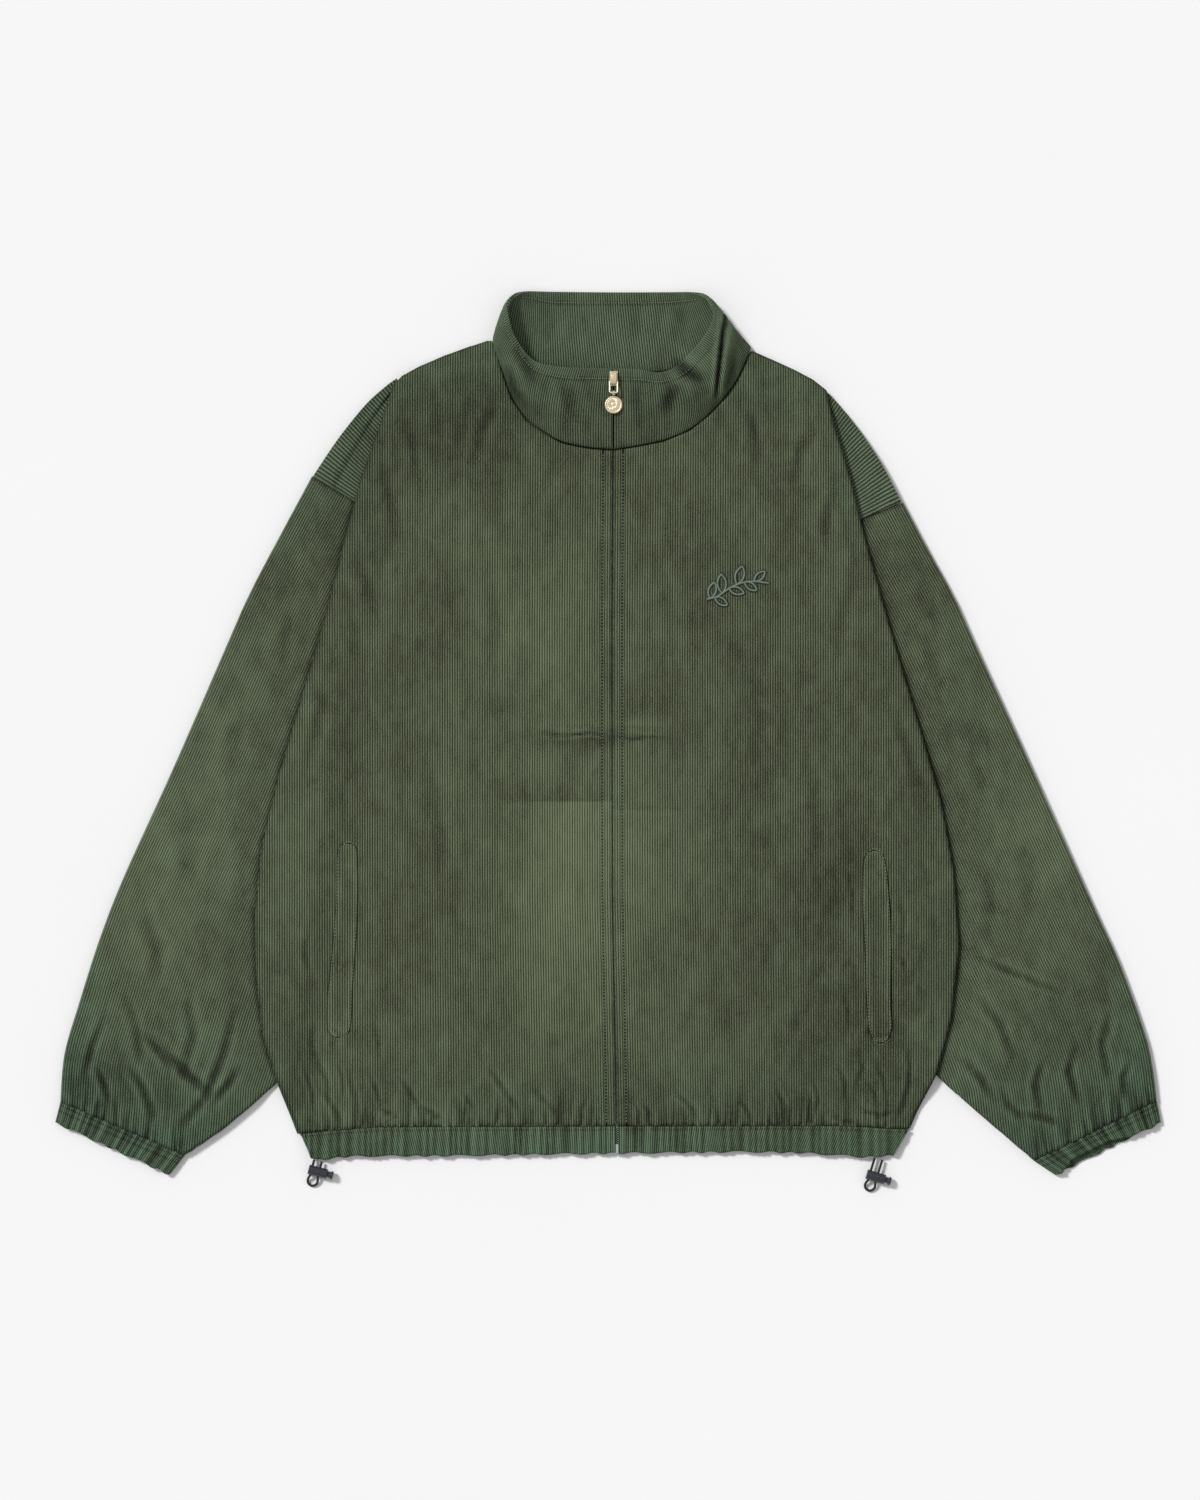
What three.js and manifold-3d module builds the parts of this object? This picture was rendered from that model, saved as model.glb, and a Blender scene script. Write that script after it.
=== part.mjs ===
// A corduroy zip jacket laid flat on its back, front up, sleeves beside the body.
// Millimetres, +Z up off the surface it lies on, +Y towards the collar.
// Left and right are the viewer's: left is -X.
import * as THREE from "three";
import { mergeVertices } from "three/addons/utils/BufferGeometryUtils.js";
import Module from "manifold-3d";

const wasm = await Module();
wasm.setup();

// Driving dimensions
const CLOTH = 2; // one layer of corduroy with its backing
const COLLAR_CLOTH = 3; // the collar is cut in one and folded double at its top edge
const SEAM = 0.4; // plan gap between two pieces at a seam
const LAYER_GAP = 0.3; // air between two layers that lie on each other
const SLEEVE_LOW = 4.6; // height of the sleeve where the body lies on it
const SLEEVE_RISE = 3; // how much higher the free part of the sleeve lies
const OUT_MARGIN = 5; // the sleeve stays low this far past the body's edge
const BODY_LIFT = SLEEVE_LOW + LAYER_GAP + 0.1; // height of the back panel over the sleeve
const BODY_AIR = 2.4; // most air between the back and the fronts
const TAPE_WIDTH = 12;
const TAPE_THICKNESS = 1;
const SLIT = 0.4; // half the gap between the two fronts
const HEM_SLIT = 1.6; // half the gap between the hem bands, where the zip's end shows
const BAND_WAVE = 0.9; // height of the gathers in the bands
const PANEL_GATHER = 0.7; // height of the soft gathers where the fronts meet the band
const FRONT_GATHERS = 16; // gathers in each front half of the hem
const BACK_GATHERS = 28;
const CUFF_GATHERS = 12; // gathers on the upper side of each cuff
const CORD_DIAMETER = 2.2;
const WELT_THICKNESS = 1.6;
const WELT_LIFT = 0.7; // from the front's facets to the welt's underside

// Colours: olive corduroy, pale gold, black plastic, steel
const OLIVE = { color: 0x4c5840, roughness: 0.95, metalness: 0 };
const GOLD = { color: 0xd9c08f, roughness: 0.3, metalness: 1 };
const BLACK_PLASTIC = { color: 0x15161a, roughness: 0.35, metalness: 0 };
const BLACK_CORD = { color: 0x17181a, roughness: 0.9, metalness: 0 };
const NICKEL = { color: 0x9aa6a2, roughness: 0.35, metalness: 1 };

// Side edge of the body, shoulder line first, then armhole, side seam and hem seam
const BODY_EDGE = {
  left: [
    { y: 352, x: -109 },
    { y: 338.8, x: -147.1 },
    { y: 329.4, x: -168.8 },
    { y: 320.2, x: -185 },
    { y: 310.7, x: -193.5 },
    { y: 278.3, x: -204.3 },
    { y: 230.6, x: -221.4 },
    { y: 171.2, x: -237 },
    { y: 100.1, x: -255.2 },
    { y: 21.8, x: -278.1 },
    { y: -42.1, x: -296.6 },
    { y: -104.2, x: -311.4 },
    { y: -166.3, x: -317.3 },
    { y: -223.9, x: -315.9 },
    { y: -271.6, x: -310.5 },
    { y: -313.9, x: -296.2 },
    { y: -354, x: -279.5 },
  ],
  right: [
    { y: 342.5, x: 130.5 },
    { y: 334.1, x: 149.8 },
    { y: 325.6, x: 168.3 },
    { y: 317, x: 183.9 },
    { y: 307.1, x: 196.2 },
    { y: 284.6, x: 200.7 },
    { y: 228.8, x: 217.8 },
    { y: 176.1, x: 230.4 },
    { y: 95.6, x: 252.9 },
    { y: 2, x: 280.8 },
    { y: -61, x: 299.1 },
    { y: -125.2, x: 310.5 },
    { y: -191.8, x: 315.2 },
    { y: -256.1, x: 308.3 },
    { y: -307.8, x: 294.5 },
    { y: -339.1, x: 277.9 },
    { y: -354, x: 271.5 },
  ],
};

// Neck seam of the fronts, from the zip out to the shoulder
const FRONT_NECK = {
  left: [
    { y: 253, x: 4.2 },
    { y: 254.8, x: -18.9 },
    { y: 259.4, x: -41.4 },
    { y: 268, x: -58.5 },
    { y: 280.1, x: -73.8 },
    { y: 299, x: -87.3 },
    { y: 319.7, x: -94.5 },
    { y: 352, x: -104 },
  ],
  right: [
    { y: 253, x: 5 },
    { y: 256.7, x: 27.9 },
    { y: 261.2, x: 50.4 },
    { y: 271.1, x: 73.8 },
    { y: 285.5, x: 91.8 },
    { y: 302.6, x: 107.1 },
    { y: 316.1, x: 117 },
    { y: 342.5, x: 127.5 },
  ],
};

// Top edge of the back: shoulder, dip of the back neck seam, shoulder
const BACK_TOP = [
  { x: -193.5, y: 310.7 },
  { x: -168.8, y: 329.4 },
  { x: -147.1, y: 338.8 },
  { x: -123.8, y: 347.4 },
  { x: -105, y: 351 },
  { x: -80, y: 334 },
  { x: -45, y: 323.5 },
  { x: 10, y: 318.5 },
  { x: 60, y: 323 },
  { x: 100, y: 333 },
  { x: 130, y: 341.5 },
  { x: 149.8, y: 334.1 },
  { x: 168.3, y: 325.6 },
  { x: 196.2, y: 307.1 },
];

const HEM_SEAM = [
  { x: -280, y: -361 },
  { x: -250, y: -358 },
  { x: -206, y: -354.6 },
  { x: 0, y: -354 },
  { x: 215, y: -353.6 },
  { x: 250, y: -356 },
  { x: 272, y: -356.5 },
];
const HEM_EDGE = [
  { x: -269, y: -382.2 },
  { x: -261, y: -384.6 },
  { x: -232, y: -381.1 },
  { x: -150, y: -380.8 },
  { x: 0, y: -378.5 },
  { x: 125, y: -377.1 },
  { x: 179, y: -378.2 },
  { x: 230, y: -382 },
  { x: 258, y: -380.5 },
];
const HEM_SIDES = {
  left: { seam: -276.5, edge: -267 },
  right: { seam: 270.5, edge: 256.5 },
};
const ZIP_LINE = [
  { y: 330, x: 4.8 },
  { y: 254, x: 4.6 },
  { y: 100, x: 3.7 },
  { y: -150, x: 4 },
  { y: -354, x: 7.8 },
  { y: -385, x: 8.2 },
];

// Sleeve from the cross seam to the cuff seam: its outer edge, and its inner edge, which lies under the body
// down to the notch beside the hem
const SLEEVE_OUTER = {
  left: [
    { x: -266.4, y: 229.8 },
    { x: -291.2, y: 183.8 },
    { x: -322.2, y: 124.9 },
    { x: -344.7, y: 74 },
    { x: -389.7, y: -29.5 },
    { x: -434.7, y: -128.5 },
    { x: -456.5, y: -184 },
    { x: -474.8, y: -241 },
    { x: -488.7, y: -289.2 },
    { x: -492.4, y: -332 },
  ],
  right: [
    { x: 265.6, y: 206 },
    { x: 286.2, y: 166.7 },
    { x: 311, y: 121.7 },
    { x: 330.3, y: 78.5 },
    { x: 379.8, y: -29.5 },
    { x: 434.1, y: -151 },
    { x: 459.9, y: -207.7 },
    { x: 482.3, y: -269.8 },
    { x: 489.2, y: -299 },
    { x: 493.4, y: -331.6 },
  ],
};
const SLEEVE_INNER = {
  left: [
    { x: -219, y: 201 },
    { x: -239, y: 120 },
    { x: -250, y: 24.5 },
    { x: -262, y: -70 },
    { x: -272.7, y: -151 },
    { x: -285, y: -250 },
    { x: -296.6, y: -314.3 },
    { x: -322.2, y: -337.3 },
    { x: -347.4, y: -358 },
    { x: -380.7, y: -380.5 },
  ],
  right: [
    { x: 217, y: 185 },
    { x: 233, y: 120 },
    { x: 247, y: 24.5 },
    { x: 260, y: -70 },
    { x: 270, y: -151 },
    { x: 283, y: -250 },
    { x: 294.6, y: -307.6 },
    { x: 311.8, y: -324 },
    { x: 349.7, y: -356.7 },
    { x: 383, y: -385.2 },
  ],
};
const SLEEVE_STATIONS = [0, 0.08, 0.17, 0.27, 0.37, 0.47, 0.57, 0.66, 0.75, 0.83, 0.91, 1];

// Shoulder inset: sections from its tip at the shoulder to the cross seam
const INSET_SECTIONS = {
  left: [
    { innerX: -189.5, innerY: 301, outerX: -199.5, outerY: 311 },
    { innerX: -197, innerY: 279, outerX: -215.2, outerY: 297.7 },
    { innerX: -205, innerY: 253, outerX: -230.4, outerY: 280 },
    { innerX: -212, innerY: 228, outerX: -246, outerY: 259.4 },
    { innerX: -218.8, innerY: 201.8, outerX: -265.4, outerY: 230.2 },
  ],
  right: [
    { innerX: 190.5, innerY: 297, outerX: 202.5, outerY: 300.6 },
    { innerX: 196, innerY: 274, outerX: 216.5, outerY: 284.4 },
    { innerX: 203, innerY: 246, outerX: 231.5, outerY: 264.3 },
    { innerX: 210, innerY: 216, outerX: 248, outerY: 238 },
    { innerX: 216.8, innerY: 185.8, outerX: 264, outerY: 207 },
  ],
};
const CUFFS = {
  left: { innerX: -394, innerY: -397.8, outerX: -497.2, outerY: -350.8 },
  right: { innerX: 402.5, innerY: -398.2, outerX: 497.3, outerY: -350.8 },
};

// Collar sections, from the zip round the right side, the back and the left side to the zip again. foot is the neck
// seam, belly the middle of the stand and lip the top edge, each the middle of the cloth
const COLLAR_SECTIONS = [
  { foot: [5.3, 254.6, 5.6], belly: [5.3, 292, 12.8], lip: [5.3, 326, 14.2] },
  { foot: [30, 258.6, 5.6], belly: [30, 292, 13], lip: [28, 325.4, 14.4] },
  { foot: [52, 263.8, 5.7], belly: [52, 293, 13.4], lip: [46, 322.6, 15] },
  { foot: [73, 273.2, 5.8], belly: [76, 302, 14.5], lip: [62, 328.5, 16.5] },
  { foot: [90.3, 287, 6], belly: [93, 316, 16.5], lip: [74, 340.5, 18.5] },
  { foot: [105.2, 304, 6.2], belly: [105, 332, 18.5], lip: [84.5, 352.5, 21] },
  { foot: [115, 318, 6.6], belly: [108.5, 345, 20], lip: [91.5, 364, 22.5] },
  { foot: [123, 334, 6.6], belly: [108, 357, 19], lip: [94, 375, 22] },
  { foot: [127.5, 345.5, 4.2], belly: [104.5, 369, 14], lip: [91.5, 385, 19] },
  { foot: [118, 345, 1.9], belly: [98, 379, 7], lip: [86, 391.5, 13] },
  { foot: [100, 337, 1.5], belly: [84, 370, 1.8], lip: [76, 395.3, 7] },
  { foot: [60, 326.5, 1.5], belly: [55, 362, 1.5], lip: [50, 395.8, 3] },
  { foot: [10, 321.5, 1.5], belly: [5, 360, 1.5], lip: [2, 395.8, 2] },
  { foot: [-45, 327, 1.5], belly: [-47, 362, 1.5], lip: [-48, 396.2, 3] },
  { foot: [-80, 338, 1.5], belly: [-75, 374, 1.8], lip: [-74, 396, 7] },
  { foot: [-96, 349.5, 1.9], belly: [-91, 380, 7], lip: [-84.5, 391, 13] },
  { foot: [-102, 353.5, 4.2], belly: [-97, 370, 14], lip: [-89.5, 382, 19] },
  { foot: [-99, 340.5, 6.4], belly: [-98, 357, 18.5], lip: [-88, 369, 22] },
  { foot: [-92, 321.5, 6.6], belly: [-93, 342, 18.5], lip: [-84, 356, 21.5] },
  { foot: [-85, 301.2, 6], belly: [-84, 326, 16.5], lip: [-74, 340.5, 19] },
  { foot: [-72, 282.2, 5.9], belly: [-72, 308, 14.8], lip: [-64, 332, 17] },
  { foot: [-57, 270.4, 5.8], belly: [-57, 299, 13.6], lip: [-48, 328.4, 15.4] },
  { foot: [-40.5, 261.4, 5.7], belly: [-40, 294, 13.2], lip: [-32, 327, 14.6] },
  { foot: [-18.5, 256.6, 5.6], belly: [-18, 292.5, 12.9], lip: [-12, 326.6, 14.3] },
  { foot: [4, 254.6, 5.6], belly: [4, 292, 12.8], lip: [4, 326, 14.2] },
];
const COLLAR_STEPS = [0, 0.25, 0.5, 0.75, 1];

// Pocket welts: a row each few centimetres down the welt
const WELTS = {
  left: [
    { y: -100.5, near: -228, far: -239 },
    { y: -110, near: -225, far: -243 },
    { y: -150, near: -224.3, far: -244.3 },
    { y: -190, near: -226.2, far: -247.5 },
    { y: -230, near: -229.3, far: -251.7 },
    { y: -262, near: -230.8, far: -253 },
    { y: -273, near: -236, far: -248 },
  ],
  right: [
    { y: -107, near: 234, far: 244 },
    { y: -118, near: 229, far: 249.5 },
    { y: -155, near: 228, far: 253.5 },
    { y: -190, near: 230.2, far: 255 },
    { y: -225, near: 231.2, far: 254.6 },
    { y: -246, near: 232.3, far: 254.6 },
    { y: -266, near: 234, far: 255.5 },
    { y: -278, near: 240, far: 250 },
  ],
};

// Rows down the fronts and the back, and columns from the side edge to the zip
const BODY_ROWS = [-354, -343, -328, -302, -268, -225, -175, -120, -60, 0, 60, 120, 180, 228];
const BODY_COLUMNS = [0, 0.05, 0.1, 0.16, 0.23, 0.32, 0.42, 0.53, 0.64, 0.75, 0.87, 1];
const TOP_ROWS_BACK = [0.35, 0.7, 1]; // steps from the last straight row of the back to its top edge
const BACK_LAST_ROW = 262;
const LAST_ZIP_ROW = 252; // above this the fronts part at the neck


const ZIP = { slider: { x: 5, y: 317, length: 13, width: 7, plate: 1.8, archWidth: 4.8 } };
const LINK = { halfWidth: 3.5, length: 11.3, bar: 0.8, corner: 1.3, tilt: -11 * (Math.PI / 180) };
const LINK_PIVOT = { x: 5, y: 315.2, z: 19.7 };
const MEDALLION = { radius: 7.9, thickness: 1.8, eye: 2.2, eyeHole: 1.15, eyeWidth: 2.4 };
const LOCK = { radius: 4.4, length: 17, bore: 2.9, slot: 10.1, slotHeight: 3, slotCentre: 6.1, travel: 3 };
const BUTTON = { stem: 2.6, stemLength: 6, neck: 2.6, head: 3.9, headLength: 2.4 };
const LOCKS = {
  left: { x: -263.2, y: -394.4, angle: -15.2 * (Math.PI / 180), toHem: 9.5 },
  right: { x: 238.4, y: -398.9, angle: -17.4 * (Math.PI / 180), toHem: 16.2 },
};
const LOCK_HEIGHT = 4.6; // middle of the barrel above the surface
const CORD_RUN = 3.5; // half the distance between the cord's two runs
const CORD_EXIT_HEIGHT = 4;
const LOOP_RADIUS = 4.5;
const LOOP_FLOOR = 1.4; // height of the cord's middle at the foot of the loop

const clamp = THREE.MathUtils.clamp;
const lerp = THREE.MathUtils.lerp;
const smooth = (from, to, value) => {
  const t = clamp((value - from) / (to - from), 0, 1);
  return t * t * (3 - 2 * t);
};

// The value of one column of a table where another column has the given key, in a straight line between rows.
function lookUp(rows, keyColumn, valueColumn, key) {
  const sorted = [...rows].sort((a, b) => a[keyColumn] - b[keyColumn]);
  const last = sorted.length - 1;
  let i = 0;
  while (i < last - 1 && sorted[i + 1][keyColumn] < key) i++;
  const [a, b] = [sorted[i], sorted[i + 1]];
  const t = clamp((key - a[keyColumn]) / (b[keyColumn] - a[keyColumn]), 0, 1);
  return lerp(a[valueColumn], b[valueColumn], t);
}

const bodyEdge = (side, y) => lookUp(BODY_EDGE[side], "y", "x", y);
const frontNeck = (side, y) => lookUp(FRONT_NECK[side], "y", "x", y);
const zipLine = (y) => lookUp(ZIP_LINE, "y", "x", y);
const sign = { left: -1, right: 1 };

// How far a point lies past the body's side edge, positive outside the body.
const pastEdge = (side, x, y) => sign[side] * (x - bodyEdge(side, y));

// Top of the sleeve: low under the body, then a soft rise.
const sleeveTop = (side, x, y) => SLEEVE_LOW + SLEEVE_RISE * smooth(OUT_MARGIN, 34, pastEdge(side, x, y));

// The sleeve's hidden inner edge as x at a height y, from the inset's tip down to the notch.
const hiddenEdgeRows = Object.fromEntries(
  ["left", "right"].map((side) => [
    side,
    [
      { x: INSET_SECTIONS[side][0].innerX, y: INSET_SECTIONS[side][0].outerY + 2 },
      ...INSET_SECTIONS[side].slice(0, 4).map((s) => ({ x: s.innerX, y: s.innerY })),
      ...SLEEVE_INNER[side].slice(0, 7),
    ],
  ]),
);

// How high the back panel is lifted by the sleeve beneath it.
function bodyLift(x, y) {
  const side = x < 0 ? "left" : "right";
  const rows = hiddenEdgeRows[side];
  const nearestY = clamp(y, rows.at(-1).y, rows[0].y);
  const inside = Math.max(0, sign[side] * (lookUp(rows, "y", "x", nearestY) - x));
  return BODY_LIFT * (1 - smooth(3, 36, Math.hypot(inside, y - nearestY)));
}

// Underside of the fronts: the back's top and the air between them.
function frontUnderside(side, x, y) {
  const inside = -pastEdge(side, x, y);
  const air = BODY_AIR * smooth(0, 60, inside) * (1 - 0.35 * smooth(-290, -354, y)) + 0.9 * smooth(228, 262, y);
  return bodyLift(x, y) + CLOTH + LAYER_GAP + air;
}

const solidMeshes = new THREE.Group();

function addMesh(name, geometry, finish) {
  const mesh = new THREE.Mesh(geometry, new THREE.MeshStandardMaterial(finish));
  mesh.name = name;
  mesh.geometry.computeVertexNormals();
  solidMeshes.add(mesh);
  return mesh;
}

// A geometry from a list of [x, y, z] points and a list of triangles that index them.
function closedGeometry(points, triangles) {
  const geometry = new THREE.BufferGeometry();
  geometry.setAttribute("position", new THREE.Float32BufferAttribute(points.flat(), 3));
  geometry.setIndex(triangles.flat());
  return geometry;
}

// A wall over rows and columns: top and bottom are grids of points. Its four rims are closed.
function wallGeometry(top, bottom) {
  const rows = top.length;
  const columns = top[0].length;
  const points = [...top.flat(), ...bottom.flat()];
  const topAt = (i, j) => i * columns + j;
  const bottomAt = (i, j) => rows * columns + i * columns + j;
  const triangles = [];
  const quad = (a, b, c, d) => triangles.push([a, b, c], [a, c, d]);
  for (let i = 0; i < rows - 1; i++) {
    for (let j = 0; j < columns - 1; j++) {
      quad(topAt(i, j), topAt(i, j + 1), topAt(i + 1, j + 1), topAt(i + 1, j));
      quad(bottomAt(i, j), bottomAt(i + 1, j), bottomAt(i + 1, j + 1), bottomAt(i, j + 1));
    }
    quad(topAt(i, 0), topAt(i + 1, 0), bottomAt(i + 1, 0), bottomAt(i, 0));
    quad(topAt(i + 1, columns - 1), topAt(i, columns - 1), bottomAt(i, columns - 1), bottomAt(i + 1, columns - 1));
  }
  for (let j = 0; j < columns - 1; j++) {
    quad(topAt(0, j + 1), topAt(0, j), bottomAt(0, j), bottomAt(0, j + 1));
    quad(topAt(rows - 1, j), topAt(rows - 1, j + 1), bottomAt(rows - 1, j + 1), bottomAt(rows - 1, j));
  }
  return facingOut(closedGeometry(points, triangles));
}

// A tube wall: outer and inner are lists of closed rings of points. It is open at both ends.
function tubeGeometry(outer, inner) {
  const around = outer[0].length;
  const count = outer.length;
  const points = [...outer.flat(), ...inner.flat()];
  const triangles = [];
  const quad = (a, b, c, d) => triangles.push([a, b, c], [a, c, d]);
  const at = (layer, i, k) => layer * count * around + i * around + (k % around);
  for (let i = 0; i < count - 1; i++) {
    for (let k = 0; k < around; k++) {
      quad(at(0, i, k), at(0, i + 1, k), at(0, i + 1, k + 1), at(0, i, k + 1));
      quad(at(1, i, k), at(1, i, k + 1), at(1, i + 1, k + 1), at(1, i + 1, k));
    }
  }
  for (let k = 0; k < around; k++) {
    quad(at(0, 0, k), at(0, 0, k + 1), at(1, 0, k + 1), at(1, 0, k));
    quad(at(0, count - 1, k), at(1, count - 1, k), at(1, count - 1, k + 1), at(0, count - 1, k + 1));
  }
  return facingOut(closedGeometry(points, triangles));
}

// Turns the faces round if the signed volume says that they point inwards.
function facingOut(geometry) {
  const position = geometry.getAttribute("position");
  const index = geometry.getIndex();
  const [a, b, c] = [new THREE.Vector3(), new THREE.Vector3(), new THREE.Vector3()];
  let volume = 0;
  for (let i = 0; i < index.count; i += 3) {
    a.fromBufferAttribute(position, index.getX(i));
    b.fromBufferAttribute(position, index.getX(i + 1));
    c.fromBufferAttribute(position, index.getX(i + 2));
    volume += a.dot(b.clone().cross(c));
  }
  if (volume < 0) {
    const turned = [];
    for (let i = 0; i < index.count; i += 3) turned.push(index.getX(i), index.getX(i + 2), index.getX(i + 1));
    geometry.setIndex(turned);
  }
  return geometry;
}

const lifted = (grid, height) => grid.map((row) => row.map(([x, y, z]) => [x, y, z + height]));

// Point of the front's grid in plan: straight rows up to the neck, bent to the hem seam at the foot.
function frontPlan(side, rowY, column) {
  const edge = bodyEdge(side, rowY);
  const middle = rowY < 253 ? zipLine(rowY) + sign[side] * SLIT : frontNeck(side, rowY);
  const x = lerp(edge, middle, column);
  const seam = lookUp(HEM_SEAM, "x", "y", x);
  return [x, rowY + (seam - BODY_ROWS[0]) * smooth(-268, BODY_ROWS[0], rowY)];
}

function frontPanel(side) {
  const neckRows = FRONT_NECK[side].map((row) => row.y);
  const rows = [...BODY_ROWS, ...neckRows];
  const columns = side === "left" ? BODY_COLUMNS : [...BODY_COLUMNS].reverse();
  const bottom = rows.map((rowY) =>
    columns.map((column, j) => {
      const [x, y] = frontPlan(side, rowY, column);
      const free = smooth(0, 50, Math.abs(x - zipLine(y))) * smooth(4, 50, -pastEdge(side, x, y));
      const gather = PANEL_GATHER * (j % 2 ? 1 : -1) * smooth(-300, -354, rowY) * free;
      return [x, y, frontUnderside(side, x, y) + gather];
    }),
  );
  addMesh(`front_panel_${side}`, wallGeometry(lifted(bottom, CLOTH), bottom), OLIVE);
  return lifted(bottom, CLOTH);
}

function backPanel() {
  const rowPoints = (rowY) => {
    const half = (side) => BODY_COLUMNS.map((column) => frontPlan(side, Math.min(rowY, LAST_ZIP_ROW), column));
    const left = half("left");
    const right = half("right").reverse().slice(1);
    if (rowY <= LAST_ZIP_ROW) return [...left, ...right];
    const span = [bodyEdge("left", rowY), bodyEdge("right", rowY)];
    const old = [left[0][0], right.at(-1)[0]];
    return [...left, ...right].map(([x]) => [
      lerp(span[0], span[1], (x - old[0]) / (old[1] - old[0])),
      rowY,
    ]);
  };
  const rows = [...BODY_ROWS, BACK_LAST_ROW].map(rowPoints);
  const last = rows.at(-1);
  const [topLeft, topRight] = [BACK_TOP[0].x, BACK_TOP.at(-1).x];
  for (const step of TOP_ROWS_BACK) {
    rows.push(
      last.map(([x, y]) => {
        const across = (x - last[0][0]) / (last.at(-1)[0] - last[0][0]);
        const topX = lerp(topLeft, topRight, across);
        const topY = lookUp(BACK_TOP, "x", "y", topX);
        return [lerp(x, topX, step), lerp(y, topY, step)];
      }),
    );
  }
  const bottom = rows.map((row) => row.map(([x, y]) => [x, y, bodyLift(x, y)]));
  addMesh("back_panel", wallGeometry(lifted(bottom, CLOTH), bottom), OLIVE);
}

// One flattened section of a sleeve tube between its inner and outer edge, as an outer and an inner ring.
// topHeight gives the height of the upper cloth at a place in plan.
function flatSection(inner, outer, fractions, topHeight, bottomSteps) {
  const width = Math.hypot(outer[0] - inner[0], outer[1] - inner[1]);
  const place = (s) => [lerp(inner[0], outer[0], s / width), lerp(inner[1], outer[1], s / width)];
  const low = CLOTH + LAYER_GAP;
  const edgeRound = 1.6;
  const [outerRing, innerRing] = [[], []];
  const add = (s, z, innerS, innerZ) => {
    outerRing.push([...place(s), z]);
    innerRing.push([...place(innerS), innerZ]);
  };
  for (let k = 0; k <= bottomSteps; k++) {
    const t = k / bottomSteps;
    add(lerp(edgeRound, width - edgeRound, t), 0, lerp(CLOTH + edgeRound, width - CLOTH - edgeRound, t), CLOTH);
  }
  const [innerEdgeHeight, outerEdgeHeight] = [topHeight(...place(0), 0), topHeight(...place(width), width)];
  add(width, outerEdgeHeight * 0.45, width - CLOTH, low - 0.1);
  for (const fraction of [...fractions].reverse()) {
    const s = lerp(edgeRound, width - edgeRound, fraction);
    const innerS = lerp(CLOTH + edgeRound, width - CLOTH - edgeRound, fraction);
    const ease = fraction === 0 || fraction === 1 ? 0.88 : 1;
    const z = topHeight(...place(s), s) * ease;
    add(s, z, innerS, Math.max(low, z - CLOTH));
  }
  add(0, innerEdgeHeight * 0.45, CLOTH, low - 0.1);
  return [outerRing, innerRing];
}

// Where along the section the sleeve comes out from under the body, as a fraction of its width.
function comesOut(side, inner, outer) {
  const steps = 200;
  for (let k = 0; k <= steps; k++) {
    const t = k / steps;
    if (pastEdge(side, lerp(inner[0], outer[0], t), lerp(inner[1], outer[1], t)) > OUT_MARGIN) return t;
  }
  return 1;
}

const FREE_COLUMNS = [0.12, 0.26, 0.42, 0.58, 0.74, 0.9, 1];

function tubeSections(side, pairs, bottomSteps) {
  const sections = pairs.map(([inner, outer]) => {
    const out = Math.max(0.06, comesOut(side, inner, outer));
    const fractions = [0, out / 2, out, ...FREE_COLUMNS.map((f) => lerp(out, 1, f))];
    return flatSection(inner, outer, fractions, (x, y) => sleeveTop(side, x, y), bottomSteps);
  });
  return tubeGeometry(
    sections.map((s) => s[0]),
    sections.map((s) => s[1]),
  );
}

function splineThrough(rows) {
  return new THREE.SplineCurve(rows.map((row) => new THREE.Vector2(row.x, row.y)));
}

function sleeve(side) {
  const outerCurve = splineThrough(SLEEVE_OUTER[side]);
  const innerCurve = splineThrough(SLEEVE_INNER[side]);
  const pairs = SLEEVE_STATIONS.map((t) => [innerCurve.getPointAt(t).toArray(), outerCurve.getPointAt(t).toArray()]);
  addMesh(`sleeve_${side}`, tubeSections(side, pairs, 3), OLIVE);
  return pairs.at(-1);
}

function shoulderInset(side) {
  const pairs = INSET_SECTIONS[side].map((s) => [
    [s.innerX, s.innerY + SEAM],
    [s.outerX, s.outerY + SEAM],
  ]);
  addMesh(`shoulder_inset_${side}`, tubeSections(side, pairs, 2), OLIVE);
}

function cuff(side, seam) {
  const hand = CUFFS[side];
  const start = (point, end) => {
    const length = Math.hypot(end[0] - point[0], end[1] - point[1]);
    return point.map((value, i) => value + ((end[i] - value) * SEAM) / length);
  };
  const handPair = [
    [hand.innerX, hand.innerY],
    [hand.outerX, hand.outerY],
  ];
  const seamPair = seam.map((point, i) => start(point, handPair[i]));
  const columns = CUFF_GATHERS * 4;
  const fractions = Array.from({ length: columns + 1 }, (_, j) => j / columns);
  const sections = [0, 0.5, 1].map((t) => {
    const pair = seamPair.map((point, i) => point.map((value, axis) => lerp(value, handPair[i][axis], t)));
    const width = Math.hypot(pair[1][0] - pair[0][0], pair[1][1] - pair[0][1]);
    const top = (x, y, s) => {
      const phase = (s / width) * CUFF_GATHERS * 2 * Math.PI;
      const taper = smooth(0, 0.08, s / width) * smooth(1, 0.92, s / width);
      return SLEEVE_LOW + 0.9 + taper * (0.8 + BAND_WAVE * Math.sin(phase + 0.8 * Math.sin(phase / 5)));
    };
    return flatSection(pair[0], pair[1], fractions, top, 3);
  });
  addMesh(
    `cuff_${side}`,
    tubeGeometry(
      sections.map((s) => s[0]),
      sections.map((s) => s[1]),
    ),
    OLIVE,
  );
}

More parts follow.
